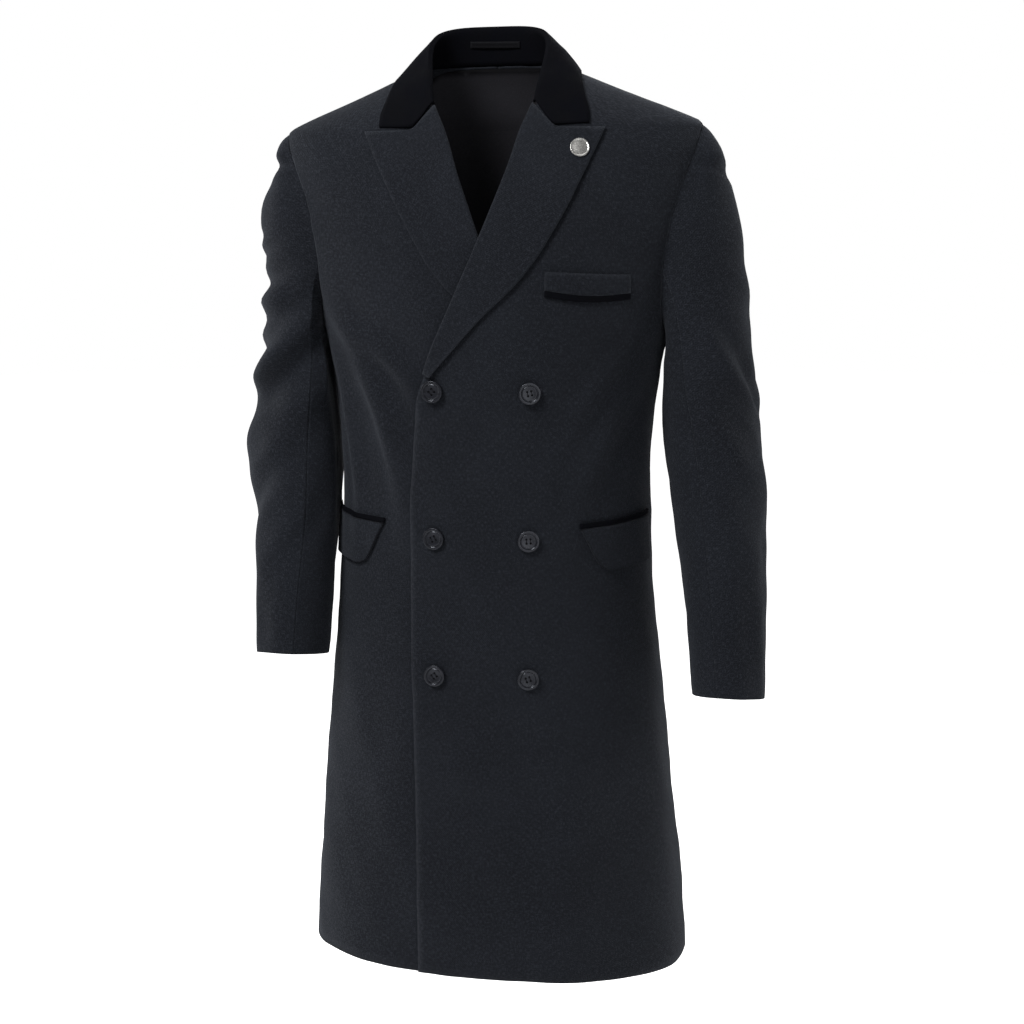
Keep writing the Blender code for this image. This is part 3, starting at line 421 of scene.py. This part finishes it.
velvet, velvet_tree, velvet_shader = new_material("black_velvet")
here = place_in(velvet_tree)
pile = noise_of(velvet_tree, here, PILE_SCALE, 2.0)
brushed = noise_of(velvet_tree, here, BRUSHED_SCALE, 3.0)
bloom = maths(velvet_tree, "MULTIPLY", pile, brushed)
plug(velvet_tree, blended(velvet_tree, bloom, PILE_DEEP, PILE_BLOOM), velvet_shader.inputs["Base Color"])
plug(velvet_tree, between(velvet_tree, brushed, 0.3, 0.7, 0.80, 1.0), velvet_shader.inputs["Roughness"])
relief(velvet_tree, velvet_shader, pile, 0.5, PILE_BUMP)
tune(velvet_shader, {
    "Specular IOR Level": 0.05, "Sheen Weight": 0.012, "Sheen Roughness": 0.30,
    "Sheen Tint": (0.45, 0.50, 0.75, 1.0),
})
print("material:", velvet.name)

# %% [markdown]
# The buttons are dark horn-like plastic with cloudy streaks and a polished rim. The thread is a dull dark
# twist, and the pin is satin silver with fine turning lines.

# %% Button, thread and silver
HORN_STREAKS = (260.0, 260.0, 700.0)
HORN_GRAIN = 1800.0
HORN_DARK, HORN_CLOUDY = (0.0044, 0.0047, 0.0066, 1.0), (0.0105, 0.0111, 0.0155, 1.0)
STRAND_SCALE = 2600.0
TWIST_DARK, TWIST_PALE = (0.0035, 0.0035, 0.0045, 1.0), (0.0090, 0.0090, 0.0115, 1.0)
TURNING_LINES = (900.0, 900.0, 2600.0)
TARNISH_SCALE = 260.0
SILVER_DULL, SILVER_BRIGHT = (0.58, 0.57, 0.55, 1.0), (0.78, 0.77, 0.74, 1.0)

horn, horn_tree, horn_shader = new_material("dark_horn")
here = place_in(horn_tree)
streaks = noise_of(horn_tree, stretch(horn_tree, here, HORN_STREAKS), 1.0, 4.0)
grain = noise_of(horn_tree, here, HORN_GRAIN, 2.0)
horn_colour = blended(horn_tree, between(horn_tree, streaks, 0.35, 0.70), HORN_DARK, HORN_CLOUDY)
plug(horn_tree, horn_colour, horn_shader.inputs["Base Color"])
plug(horn_tree, between(horn_tree, grain, 0.3, 0.7, 0.20, 0.30), horn_shader.inputs["Roughness"])
tune(horn_shader, {"Specular IOR Level": 0.60, "Specular Tint": (0.86, 0.90, 1.0, 1.0)})

twist, twist_tree, twist_shader = new_material("dark_thread")
strands = noise_of(twist_tree, place_in(twist_tree), STRAND_SCALE, 2.0)
plug(twist_tree, blended(twist_tree, strands, TWIST_DARK, TWIST_PALE), twist_shader.inputs["Base Color"])
tune(twist_shader, {"Roughness": 0.8, "Specular IOR Level": 0.1})

silver, silver_tree, silver_shader = new_material("satin_silver")
here = place_in(silver_tree)
turned = noise_of(silver_tree, stretch(silver_tree, here, TURNING_LINES), 1.0, 2.0)
tarnish = noise_of(silver_tree, here, TARNISH_SCALE, 3.0)
silver_colour = blended(silver_tree, tarnish, SILVER_DULL, SILVER_BRIGHT)
plug(silver_tree, silver_colour, silver_shader.inputs["Base Color"])
plug(silver_tree, between(silver_tree, turned, 0.3, 0.7, 0.22, 0.38), silver_shader.inputs["Roughness"])
tune(silver_shader, {"Metallic": 1.0})
print("materials:", horn.name, twist.name, silver.name)

# %% [markdown]
# ## Cloth shells
# A panel of cloth is a thin sheet with a soft turned edge. Each one starts from its own solid, because its
# wall already has the right form, and is finished as one would by hand: a copy, doubles merged, triangles
# paired into quads, turned edges creased, and a subdivision that makes the surface flow.

# %% From solid to soft shell
MERGE = 0.00002
SHARP = math.radians(62.0)
CORNER = math.radians(28.0)
PAIR = math.radians(75.0)
FULL_CREASE = 1.0
BORDER_STEP = 0.0015


def copy_of(node, name):
    """A copy of a solid with its own mesh, welded and in quads."""
    only(NODES[node])
    bpy.ops.object.duplicate()
    piece = bpy.context.active_object
    piece.name = name
    piece.data.name = name
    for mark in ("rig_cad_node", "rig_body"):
        del piece[mark]
    piece.parent = None
    only(piece)
    bpy.ops.object.mode_set(mode="EDIT")
    bpy.ops.mesh.select_all(action="SELECT")
    bpy.ops.mesh.remove_doubles(threshold=MERGE)
    bpy.ops.mesh.tris_convert_to_quads(face_threshold=PAIR, shape_threshold=PAIR)
    bpy.ops.object.mode_set(mode="OBJECT")
    return piece


def border_of(piece):
    """Close points along the sharp edges of a welded copy, which outline its panel, and the corners there."""
    mesh = piece.data
    faces = {}
    for face in mesh.polygons:
        for key in face.edge_keys:
            faces.setdefault(key, []).append(face.normal)
    edges = [
        key for key, normals in faces.items()
        if len(normals) == 2 and normals[0].angle(normals[1], 0.0) > SHARP
    ]
    ways = {}
    for first, second in edges:
        along = (mesh.vertices[second].co - mesh.vertices[first].co).normalized()
        ways.setdefault(first, []).append(along)
        ways.setdefault(second, []).append(-along)
    corners = [
        index for index, out in ways.items()
        if len(out) != 2 or out[0].angle(-out[1], 0.0) > CORNER
    ]
    points = []
    for first, second in edges:
        start, end = mesh.vertices[first].co, mesh.vertices[second].co
        steps = max(int((end - start).length / BORDER_STEP), 1)
        points += [start.lerp(end, k / steps) for k in range(steps + 1)]
    return points, set(corners)


def creased(piece, corners):
    """Keeps the turned edges tight and the corners of the outline where they are."""
    only(piece)
    bpy.ops.object.mode_set(mode="EDIT")
    bpy.ops.mesh.select_mode(type="EDGE")
    bpy.ops.mesh.select_all(action="DESELECT")
    bpy.ops.mesh.edges_select_sharp(sharpness=SHARP)
    bpy.ops.transform.edge_crease(value=FULL_CREASE)
    bpy.ops.mesh.select_mode(type="VERT")
    bpy.ops.mesh.select_all(action="DESELECT")
    bpy.ops.object.mode_set(mode="OBJECT")
    for vertex in piece.data.vertices:
        vertex.select = vertex.index in corners
    bpy.ops.object.mode_set(mode="EDIT")
    bpy.ops.transform.vert_crease(value=FULL_CREASE)
    bpy.ops.object.mode_set(mode="OBJECT")


def smoothed(piece, levels):
    """Subdivides a piece so that its surface flows."""
    only(piece)
    flow = piece.modifiers.new("flow", "SUBSURF")
    flow.levels = levels
    flow.render_levels = levels
    bpy.ops.object.modifier_apply(modifier=flow.name)
    bpy.ops.object.shade_smooth()


def search_tree(points):
    """A tree that finds the nearest of many points."""
    tree = KDTree(len(points))
    for index, point in enumerate(points):
        tree.insert(point, index)
    tree.balance()
    return tree


def mark_edges(piece, border, narrow):
    """Writes how far each point is from the outline of its panel, times narrow, for the edge colour with its
    painted highlight and shade.
    """
    tree = search_tree(border)
    distances = np.array([tree.find(vertex.co)[2] for vertex in piece.data.vertices], np.float32)
    layer = piece.data.attributes.new("edge", "FLOAT", "POINT")
    layer.data.foreach_set("value", distances * narrow)
    return distances


print("corners turn by more than", round(math.degrees(CORNER)), "degrees")


# %% [markdown]
# ## Where cloth lies on the coat
# Folds and threads both follow the garment, so each point needs its place on it: the angle round the body or
# round the sleeve, and its height. The middle line of each sleeve is the same as the one that its solid was
# built on.

# %% Places on body and sleeves
BODY_RADIUS = 0.175
SLEEVE_RADIUS = 0.055
HAND = {"left": 1.0, "right": -1.0}
# height, out, forward
SLEEVE_LINE = {
    "left": np.array([(-0.650, 0.2585, 0.062), (-0.550, 0.2530, 0.040), (-0.467, 0.2455, 0.018),
                      (-0.384, 0.2355, 0.006), (-0.300, 0.2215, 0.004), (-0.060, 0.1900, 0.000)]),
    "right": np.array([(-0.613, 0.2110, 0.092), (-0.545, 0.2110, 0.066), (-0.465, 0.2095, 0.035),
                       (-0.390, 0.2115, 0.012), (-0.300, 0.2035, 0.004), (-0.060, 0.1850, 0.000)]),
}


def on_body(points):
    """Degrees round the body from its front, and the direction out of it."""
    turn = np.degrees(np.arctan2(points[:, 0], -points[:, 1]))
    out = np.stack([points[:, 0], points[:, 1], np.zeros(len(points))], axis=1)
    return turn, out / np.linalg.norm(out, axis=1, keepdims=True)


def on_sleeve(points, side):
    """Degrees round a sleeve from its outer side (its front is 90), and the direction out of it."""
    line = SLEEVE_LINE[side]
    across = points[:, 0] * HAND[side] - np.interp(points[:, 2], line[:, 0], line[:, 1])
    forward = -points[:, 1] - np.interp(points[:, 2], line[:, 0], line[:, 2])
    turn = np.degrees(np.arctan2(forward, across))
    out = np.stack([across * HAND[side], -forward, np.zeros(len(points))], axis=1)
    return turn, out / np.linalg.norm(out, axis=1, keepdims=True)


print("sleeve lines:", {side: len(line) for side, line in SLEEVE_LINE.items()}, "points")

# %% [markdown]
# ## Folds
# The photograph shows few folds: soft drag lines from the wearer's right armpit towards the waist, diagonal
# folds above both elbows, a few short ones on the outside of the right upper sleeve, and long flutes in the
# skirt. A cloth simulation would invent others, so they are listed one by one: each is a bent ridge with a
# shallow trough beside it, and a slow ripple keeps the rest from looking machined.

# %% Tables of folds
# degrees, height, half length, half width, tilt in degrees, bow, depth
BODY_FOLDS = [
    (-38.0, -0.287, 0.058, 0.0120, -54.0, 0.006, 0.0062),
    (-40.0, -0.350, 0.090, 0.0130, -22.0, 0.010, 0.0072),
    (-58.0, -0.385, 0.070, 0.0110, -14.0, 0.006, 0.0054),
    (46.0, -0.318, 0.065, 0.0120, 40.0, -0.006, 0.0034),
    (50.0, -0.372, 0.080, 0.0150, 28.0, -0.006, 0.0034),
    (-30.0, -0.690, 0.150, 0.0220, 4.0, 0.010, 0.0018),
    (34.0, -0.790, 0.150, 0.0260, -3.0, 0.010, 0.0022),
    (140.0, -0.300, 0.085, 0.0110, -28.0, 0.008, 0.0040),
    (-138.0, -0.310, 0.080, 0.0115, 30.0, -0.008, 0.0040),
    (158.0, -0.420, 0.070, 0.0130, -60.0, 0.006, 0.0026),
    (-160.0, -0.415, 0.070, 0.0130, 62.0, -0.006, 0.0026),
    (165.0, -0.720, 0.170, 0.0240, 2.0, 0.010, 0.0036),
    (-162.0, -0.740, 0.170, 0.0240, -3.0, -0.010, 0.0036),
    (104.0, -0.400, 0.060, 0.0120, 24.0, 0.006, 0.0026),
    (-104.0, -0.410, 0.060, 0.0120, -24.0, -0.006, 0.0026),
]
SLEEVE_FOLDS = {
    "right": [
        (4.0, -0.075, 0.060, 0.0170, 88.0, 0.000, 0.0060),
        (10.0, -0.097, 0.060, 0.0060, 82.0, 0.004, -0.0030),
        (0.0, -0.140, 0.060, 0.0300, 88.0, 0.000, 0.0050),
        (2.0, -0.184, 0.034, 0.0055, 78.0, 0.004, 0.0044),
        (34.0, -0.216, 0.046, 0.0100, 70.0, 0.006, -0.0036),
        (16.0, -0.240, 0.050, 0.0085, 76.0, 0.004, 0.0042),
        (44.0, -0.257, 0.050, 0.0085, 72.0, 0.006, -0.0034),
        (10.0, -0.275, 0.040, 0.0100, 60.0, 0.006, 0.0036),
        (62.0, -0.296, 0.056, 0.0105, 47.0, 0.008, 0.0084),
        (72.0, -0.326, 0.058, 0.0140, 46.0, 0.008, -0.0080),
        (14.0, -0.392, 0.052, 0.0240, 38.0, 0.008, 0.0062),
        (66.0, -0.396, 0.052, 0.0120, 42.0, 0.006, 0.0048),
        (40.0, -0.452, 0.060, 0.0150, 34.0, 0.006, -0.0044),
        (90.0, -0.470, 0.050, 0.0110, 30.0, 0.004, 0.0038),
        (48.0, -0.560, 0.080, 0.0110, 6.0, 0.004, 0.0018),
        (-62.0, -0.380, 0.050, 0.0105, -42.0, 0.006, 0.0044),
        (-78.0, -0.440, 0.050, 0.0105, -36.0, 0.006, 0.0040),
        (-40.0, -0.300, 0.050, 0.0110, -48.0, 0.006, 0.0034),
    ],
    "left": [
        (6.0, -0.078, 0.050, 0.0150, 88.0, 0.000, 0.0030),
        (20.0, -0.098, 0.050, 0.0060, 80.0, 0.004, -0.0024),
        (58.0, -0.304, 0.062, 0.0080, 32.0, 0.008, 0.0046),
        (34.0, -0.318, 0.060, 0.0130, 34.0, 0.006, -0.0034),
        (76.0, -0.372, 0.060, 0.0110, 30.0, 0.006, 0.0030),
        (20.0, -0.420, 0.055, 0.0130, 30.0, 0.006, 0.0032),
        (58.0, -0.446, 0.055, 0.0130, 28.0, 0.004, -0.0026),
        (8.0, -0.220, 0.050, 0.0130, 66.0, 0.004, 0.0020),
        (44.0, -0.575, 0.085, 0.0110, 6.0, 0.004, 0.0018),
        (-62.0, -0.390, 0.050, 0.0105, -42.0, 0.006, 0.0044),
        (-78.0, -0.450, 0.050, 0.0105, -36.0, 0.006, 0.0040),
        (-40.0, -0.310, 0.050, 0.0110, -48.0, 0.006, 0.0034),
    ],
}
TROUGH_DEPTH = 0.45
TROUGH_AWAY = 1.9
# waves across and along, in turns per metre, with their start and height
RIPPLES = [
    (9.0, 5.0, 0.3, 0.00045), (17.0, 8.0, 1.9, 0.00030),
    (5.0, 21.0, 4.1, 0.00025), (29.0, 13.0, 2.6, 0.00015),
]


def fold_height(folds, turn, height, radius):
    """Height of all the folds and ripples at each point."""
    total = np.zeros(len(height))
    for place, level, along, across, tilt, bow, depth in folds:
        side = np.radians((turn - place + 180.0) % 360.0 - 180.0) * radius
        rise = height - level
        lean = math.radians(tilt)
        up = (rise * math.cos(lean) + side * math.sin(lean)) / along
        over = (side * math.cos(lean) - rise * math.sin(lean) + bow * up * up) / across
        ridge = np.exp(-over * over) - TROUGH_DEPTH * np.exp(-((np.abs(over) - TROUGH_AWAY) ** 2))
        total += depth * ridge * np.exp(-up * up)
    around = np.radians(turn) * radius
    for across, along, start, size in RIPPLES:
        total += size * np.sin(2.0 * math.pi * (across * around + along * height) + start)
    return total


sleeve_count = sum(len(rows) for rows in SLEEVE_FOLDS.values())
print("folds:", len(BODY_FOLDS), "on the body,", sleeve_count, "on the sleeves")

# %% [markdown]
# ## Thread map and seams
# The weave needs its thread directions. A flat pattern piece could be unwrapped, but on these panels the
# place on the garment already gives them: distance round it and height on it, in metres. Lapels are cut along
# their roll line, so their threads are turned. Near a seam the cloth of the body dips and puckers a little.
#
# The solids stand a little apart at their seams, and light would show through. So the cloth beside a side,
# back or sleeve seam is drawn together, and the sleeves are stitched on to the outlines of the body panels.

# %% Threads, folds and seams on a shell
SEAM_DIP = 0.0004
SEAM_REACH = 0.006
PUCKER = 0.00018
PUCKER_EVERY = 0.011
# How far each side of a seam is drawn: more at the centre back, where the solids stand further apart.
SEAM_EASE = 0.020
SIDE_SEAM, CENTRE_SEAM, SLEEVE_SEAM = 0.00045, 0.00070, 0.00030
SIDE_TURN, CENTRE_TURN = 110.0, 165.0
STITCH_REACH, STITCH_FAR = 0.006, 0.014
OUTLINES = {}


def lay_threads(piece, around, down, turned=0.0):
    """Writes the thread map, in metres, turned by an angle."""
    cosine, sine = math.cos(turned), math.sin(turned)
    threads = np.stack([around * cosine - down * sine, around * sine + down * cosine], axis=1)
    corner = np.empty(len(piece.data.loops), int)
    piece.data.loops.foreach_get("vertex_index", corner)
    layer = piece.data.uv_layers.new(name="threads")
    layer.data.foreach_set("uv", threads[corner].ravel())
    piece.data.uv_layers.active = layer


def seam_height(distance, height):
    """Dip and pucker along the outline of a panel."""
    close = np.exp(-((distance / SEAM_REACH) ** 2))
    return close * (PUCKER * np.sin(2.0 * math.pi * height / PUCKER_EVERY) - SEAM_DIP)


def around_of(turn, radius):
    """Distance round from the middle of the piece, with no jump at the back."""
    middle = math.degrees(math.atan2(np.sin(np.radians(turn)).mean(), np.cos(np.radians(turn)).mean()))
    return np.radians((turn - middle + 180.0) % 360.0 - 180.0) * radius


def stitched(points, seams):
    """Moves points that lie close to the outline of a body panel on to it, and tells how far they were."""
    moved = points.copy()
    gaps = np.empty(len(points), np.float32)
    for index, point in enumerate(points):
        near, _, gaps[index] = seams.find(point)
        if gaps[index] < STITCH_FAR:
            moved[index] += (np.array(near) - point) * math.exp(-((gaps[index] / STITCH_REACH) ** 2))
    return moved, gaps


def drawn_together(distance, around, close, out):
    """How far the cloth beside a seam moves round the garment, away from the middle of its panel."""
    round_way = np.stack([out[:, 1], -out[:, 0], out[:, 2]], axis=1)
    pull = close * np.tanh(around / SEAM_EASE) * np.exp(-((distance / SEAM_REACH) ** 2))
    return round_way * pull[:, None]


def place_of(points, lies):
    """Degrees round body or sleeve, the way out, the radius, the folds, and how far its seams are drawn."""
    if lies == "body":
        turn, out = on_body(points)
        close = np.interp(np.abs(turn), (SIDE_TURN, CENTRE_TURN), (SIDE_SEAM, CENTRE_SEAM))
        return turn, out, BODY_RADIUS, BODY_FOLDS, -close
    turn, out = on_sleeve(points, lies)
    return turn, out, SLEEVE_RADIUS, SLEEVE_FOLDS[lies], SLEEVE_SEAM * HAND[lies]


def cloth(node, levels, material, lies="body", turned=0.0, folded=True, seamed=True, sewn=False,
          shaped=None, narrow=1.0):
    """A finished shell for one solid.

    It lies on the body or on one of the sleeves. Sewn panels are drawn together at their seams, shaped
    changes the copy first, and a larger narrow makes the painted edge colour thinner.
    """
    piece = copy_of(node, node + "_cloth")
    if shaped:
        shaped(piece)
    border, corners = border_of(piece)
    if sewn and lies == "body":
        OUTLINES[node] = [point.copy() for point in border]
    creased(piece, corners)
    smoothed(piece, levels)
    distance = mark_edges(piece, border, narrow)
    points = points_of(piece)
    turn, out, radius, folds, close = place_of(points, lies)
    around = around_of(turn, radius)
    lay_threads(piece, around, points[:, 2], turned)
    rise = fold_height(folds, turn, points[:, 2], radius) if folded else np.zeros(len(points))
    rise += seam_height(distance, points[:, 2]) if seamed else 0.0
    moved = points + out * rise[:, None]
    if sewn:
        moved += drawn_together(distance, around, close, out)
    if sewn and lies != "body":
        seams = search_tree([point for outline in OUTLINES.values() for point in outline])
        moved, gaps = stitched(moved, seams)
        # On a sleeve the edge colour is measured from the body's outlines, so its painted shade lies along
        # the armhole seam.
        piece.data.attributes["edge"].data.foreach_set("value", gaps)
    move_to(piece, moved)
    piece.data.materials.clear()
    piece.data.materials.append(material)
    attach(piece, "root")
    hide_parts(node)
    return piece


# %% Body panels
for node in ("front_left", "front_right", "back_left", "back_right"):
    cloth(node, 2, wool, sewn=True)

# %% Sleeves
# The sleeves are in the wool with a painted shade at the seam where they are sewn in.
for side in ("left", "right"):
    for half in ("top_sleeve_", "under_sleeve_"):
        node = half + side
        cloth(node, 3, painted_shade_edge_wool, lies=side, seamed=False, sewn=True)

# %% [markdown]
# The lining is sewn in along the seam of the collar. Its solid ends a few millimetres below that seam, so the
# top row of the shell is drawn up along the inside of the back until it meets the collar.

# %% Lapels, collar and lining
LAPEL_TURN = {"left": math.radians(-24.0), "right": math.radians(24.0)}
# LINING_EDGE widens the painted shade along the lining's edge.
LINING_EDGE = 0.35
LINING_TOP_ROW = -0.002
LINING_REACH = 0.0042
LINING_RISE, LINING_IN = 0.78, 0.63


def reach_collar(piece):
    """Draws the top row of the lining up to the seam of the collar."""
    points = points_of(piece)
    out = on_body(points)[1]
    way = np.array([0.0, 0.0, LINING_RISE]) - out * LINING_IN
    top = points[:, 2] > LINING_TOP_ROW
    points[top] += way[top] * LINING_REACH
    move_to(piece, points)


for side in ("left", "right"):
    cloth("lapel_" + side, 2, wool, turned=LAPEL_TURN[side], seamed=False)
cloth("collar", 2, velvet, folded=False, seamed=False)
cloth(
    "back_lining", 2, lining_cloth,
    folded=False, seamed=False, shaped=reach_collar, narrow=LINING_EDGE,
)
cloth("hanger_loop", 2, ribbon, folded=False, seamed=False)

# %% Pocket pieces
POCKETS = {
    "chest_welt": wool, "chest_welt_velvet": velvet,
    "flap_left": painted_shade_edge_wool, "flap_right": painted_shade_edge_wool,
    "jetting_left": velvet, "jetting_right": velvet,
}
# The flaps are in the wool with a painted shade along their turned edges, made narrower by FLAP_EDGE.
FLAP_EDGE = 2.4
for node, material in POCKETS.items():
    narrow = FLAP_EDGE if material == painted_shade_edge_wool else 1.0
    cloth(node, 2, material, seamed=False, narrow=narrow)

# %% [markdown]
# ## Buttons
# A coat button is turned from horn or plastic: a raised polished rim, a groove, a dished middle and four
# holes with thread across them. It is modelled once, lying flat, from a cylinder that is inset and pushed
# in, and bored with small cylinders. Each place on the coat then gets its own copy.

# %% One button, lying flat
SAME_WAY = 0.9
NEAR_TOP = 0.9
BUTTON_RADIUS = 0.0112
BUTTON_THICK = 0.0038
BUTTON_SIDES = 40
BUTTON_ROUND, BUTTON_ROUND_STEPS = 0.0010, 4
RIM_WIDE = 0.0024
GROOVE_WIDE = 0.0007
GROOVE_DEEP = 0.0011
DISH_WIDE = 0.0030
DISH_DEEP = 0.0009
HOLE_RADIUS = 0.00115
HOLE_SPREAD = 0.0021
HOLE_SIDES = 16
DRILL_LENGTH = 0.012
# how far in from the ring before, and how far up
BUTTON_RINGS = [
    (RIM_WIDE, 0.0), (GROOVE_WIDE, -GROOVE_DEEP - DISH_DEEP * 0.4), (GROOVE_WIDE, GROOVE_DEEP * 0.7),
    (DISH_WIDE, -DISH_DEEP * 0.5),
]


def turned_disc(name, radius, thick, sides, rings):
    """A flat disc whose top is stepped in rings, as if turned on a lathe."""
    bpy.ops.object.select_all(action="DESELECT")
    bpy.ops.mesh.primitive_cylinder_add(
        vertices=sides, radius=radius, depth=thick, location=(0.0, 0.0, thick / 2)
    )
    disc = bpy.context.active_object
    disc.name = name
    bpy.ops.object.transform_apply(location=True)
    bpy.ops.object.mode_set(mode="EDIT")
    bpy.ops.mesh.select_mode(type="FACE")
    bpy.ops.object.mode_set(mode="OBJECT")
    for face in disc.data.polygons:
        face.select = face.normal.z > SAME_WAY and face.center.z > thick * NEAR_TOP
    bpy.ops.object.mode_set(mode="EDIT")
    for inward, rise in rings:
        bpy.ops.mesh.inset(thickness=inward)
        bpy.ops.transform.translate(value=(0.0, 0.0, rise))
    bpy.ops.object.mode_set(mode="OBJECT")
    return disc


def rounded(disc, width, steps, sharp):
    """Rounds the edges of a disc that bend by more than an angle in degrees."""
    only(disc)
    soften = disc.modifiers.new("soften", "BEVEL")
    soften.width = width
    soften.segments = steps
    soften.limit_method = "ANGLE"
    soften.angle_limit = math.radians(sharp)
    bpy.ops.object.modifier_apply(modifier=soften.name)


button = turned_disc("button_pattern", BUTTON_RADIUS, BUTTON_THICK, BUTTON_SIDES, BUTTON_RINGS)
rounded(button, BUTTON_ROUND, BUTTON_ROUND_STEPS, 35.0)
for across, up in ((1, 1), (-1, 1), (-1, -1), (1, -1)):
    bpy.ops.object.select_all(action="DESELECT")
    bpy.ops.mesh.primitive_cylinder_add(
        vertices=HOLE_SIDES, radius=HOLE_RADIUS, depth=DRILL_LENGTH,
        location=(across * HOLE_SPREAD, up * HOLE_SPREAD, 0.0),
    )
    drill = bpy.context.active_object
    only(button)
    bore = button.modifiers.new("bore", "BOOLEAN")
    bore.operation = "DIFFERENCE"
    bore.solver = "EXACT"
    bore.object = drill
    bpy.ops.object.modifier_apply(modifier=bore.name)
    bpy.data.objects.remove(drill)
only(button)
bpy.ops.object.shade_smooth_by_angle(angle=math.radians(40.0))
button.data.materials.append(horn)
print("button:", len(button.data.polygons), "faces")

# %% Thread for one button
# Two bars of thread cross the middle, each over the holes of one side, and dip into them.
THREAD_RADIUS = 0.00042
THREAD_SIDES = 8
THREAD_SUNK = 0.0002
THREAD_LIFT = BUTTON_THICK - DISH_DEEP - THREAD_SUNK
# how far an end goes on, and how far up
THREAD_BENDS = [(0.0003, -0.0004), (0.0001, -0.0014)]


def thread_bar(name, across):
    """A short thick thread between two holes: a bar whose ends are drawn out and down into them."""
    bpy.ops.object.select_all(action="DESELECT")
    bpy.ops.mesh.primitive_cylinder_add(
        vertices=THREAD_SIDES, radius=THREAD_RADIUS, depth=HOLE_SPREAD * 2.0,
        rotation=(math.pi / 2, 0.0, 0.0), location=(across * HOLE_SPREAD, 0.0, THREAD_LIFT),
    )
    bar = bpy.context.active_object
    bar.name = name
    bpy.ops.object.transform_apply(location=True, rotation=True)
    for end in (1.0, -1.0):
        bpy.ops.object.mode_set(mode="EDIT")
        bpy.ops.mesh.select_mode(type="FACE")
        bpy.ops.object.mode_set(mode="OBJECT")
        for face in bar.data.polygons:
            face.select = face.normal.y * end > SAME_WAY
        bpy.ops.object.mode_set(mode="EDIT")
        for onward, rise in THREAD_BENDS:
            bpy.ops.mesh.extrude_region_move(TRANSFORM_OT_translate={"value": (0.0, end * onward, rise)})
        bpy.ops.object.mode_set(mode="OBJECT")
    only(bar)
    bpy.ops.object.shade_smooth()
    return bar


bars = [thread_bar("thread_pattern_a", 1.0), thread_bar("thread_pattern_b", -1.0)]
bpy.ops.object.select_all(action="DESELECT")
for bar in bars:
    bar.select_set(True)
bpy.context.view_layer.objects.active = bars[0]
bpy.ops.object.join()
button_thread = bpy.context.active_object
button_thread.data.materials.append(twist)
print("thread:", len(button_thread.data.polygons), "faces")


# %% [markdown]
# A button's solid tells where it is sewn: its middle, and the direction in which it is thinnest. The copy is
# turned and moved in its mesh, so that its object stays at the origin. Hand-sewn buttons never line up, so
# each has its own turn.

# %% Eight buttons
# node: turn in degrees
BUTTON_TURNS = {
    "button_1_right": 45.0, "button_1_left": 12.0, "button_2_right": 28.0, "button_2_left": 3.0,
    "button_3_right": 38.0, "button_3_left": 20.0, "cuff_button_left": 10.0, "cuff_button_right": 30.0,
}
CUFF_RADIUS = 0.0085


def seat_of(node, centre):
    """Middle of a flat solid's back, and its direction away from a centre."""
    points = points_of(NODES[node])
    middle = (points.min(0) + points.max(0)) / 2.0
    _, _, axes = np.linalg.svd(points - points.mean(0), full_matrices=False)
    normal = axes[2] if np.dot(axes[2], middle - centre) > 0 else -axes[2]
    heights = (points - middle) @ normal
    return middle + normal * heights.min(), normal


def set_on(pattern, name, seat, normal, size, turn):
    """A copy of a flat pattern, set on a seat."""
    only(pattern)
    bpy.ops.object.duplicate()
    made = bpy.context.active_object
    made.name = name
    made.data.name = name
    upright = Vector(normal).to_track_quat("Z", "Y").to_matrix().to_4x4()
    spin = Matrix.Rotation(math.radians(turn), 4, "Z")
    made.data.transform(Matrix.Translation(Vector(seat)) @ upright @ spin @ Matrix.Scale(size, 4))
    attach(made, "root")
    return made


for node, turn in BUTTON_TURNS.items():
    centre, size = np.zeros(3), 1.0
    if node.startswith("cuff"):
        side = node.rsplit("_", 1)[1]
        height, out, forward = SLEEVE_LINE[side][0]
        centre, size = np.array([out * HAND[side], -forward, height]), CUFF_RADIUS / BUTTON_RADIUS
    seat, normal = seat_of(node, centre)
    made = set_on(button, node + "_horn", seat, normal, size, turn)
    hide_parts(node)
    set_on(button_thread, node + "_thread", seat, normal, size, turn)
    print(node, "at", [round(v, 3) for v in seat])
for pattern in (button, button_thread):
    bpy.data.objects.remove(pattern)

# %% [markdown]
# ## Pin
# The pin on the lapel is a small domed silver disc with a raised rim. Its face is left plain. A cylinder is
# inset for the rim, pushed in, and rounded.

# %% Lapel pin
PIN_RADIUS = 0.0098
PIN_THICK = 0.0016
PIN_SIDES = 48
PIN_ROUND, PIN_ROUND_STEPS = 0.0003, 3
# how far in from the ring before, and how far up
PIN_RINGS = [(0.0012, 0.0), (0.0004, -0.0004), (0.0030, 0.0004), (0.0025, 0.0002)]

pin_pattern = turned_disc("pin_pattern", PIN_RADIUS, PIN_THICK, PIN_SIDES, PIN_RINGS)
rounded(pin_pattern, PIN_ROUND, PIN_ROUND_STEPS, 30.0)
bpy.ops.object.shade_smooth_by_angle(angle=math.radians(50.0))
pin_pattern.data.materials.append(silver)
seat, normal = seat_of("lapel_pin", np.zeros(3))
pin = set_on(pin_pattern, "lapel_pin_silver", seat, normal, 1.0, 0.0)
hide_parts("lapel_pin")
bpy.data.objects.remove(pin_pattern)
print("pin at", [round(v, 3) for v in seat])
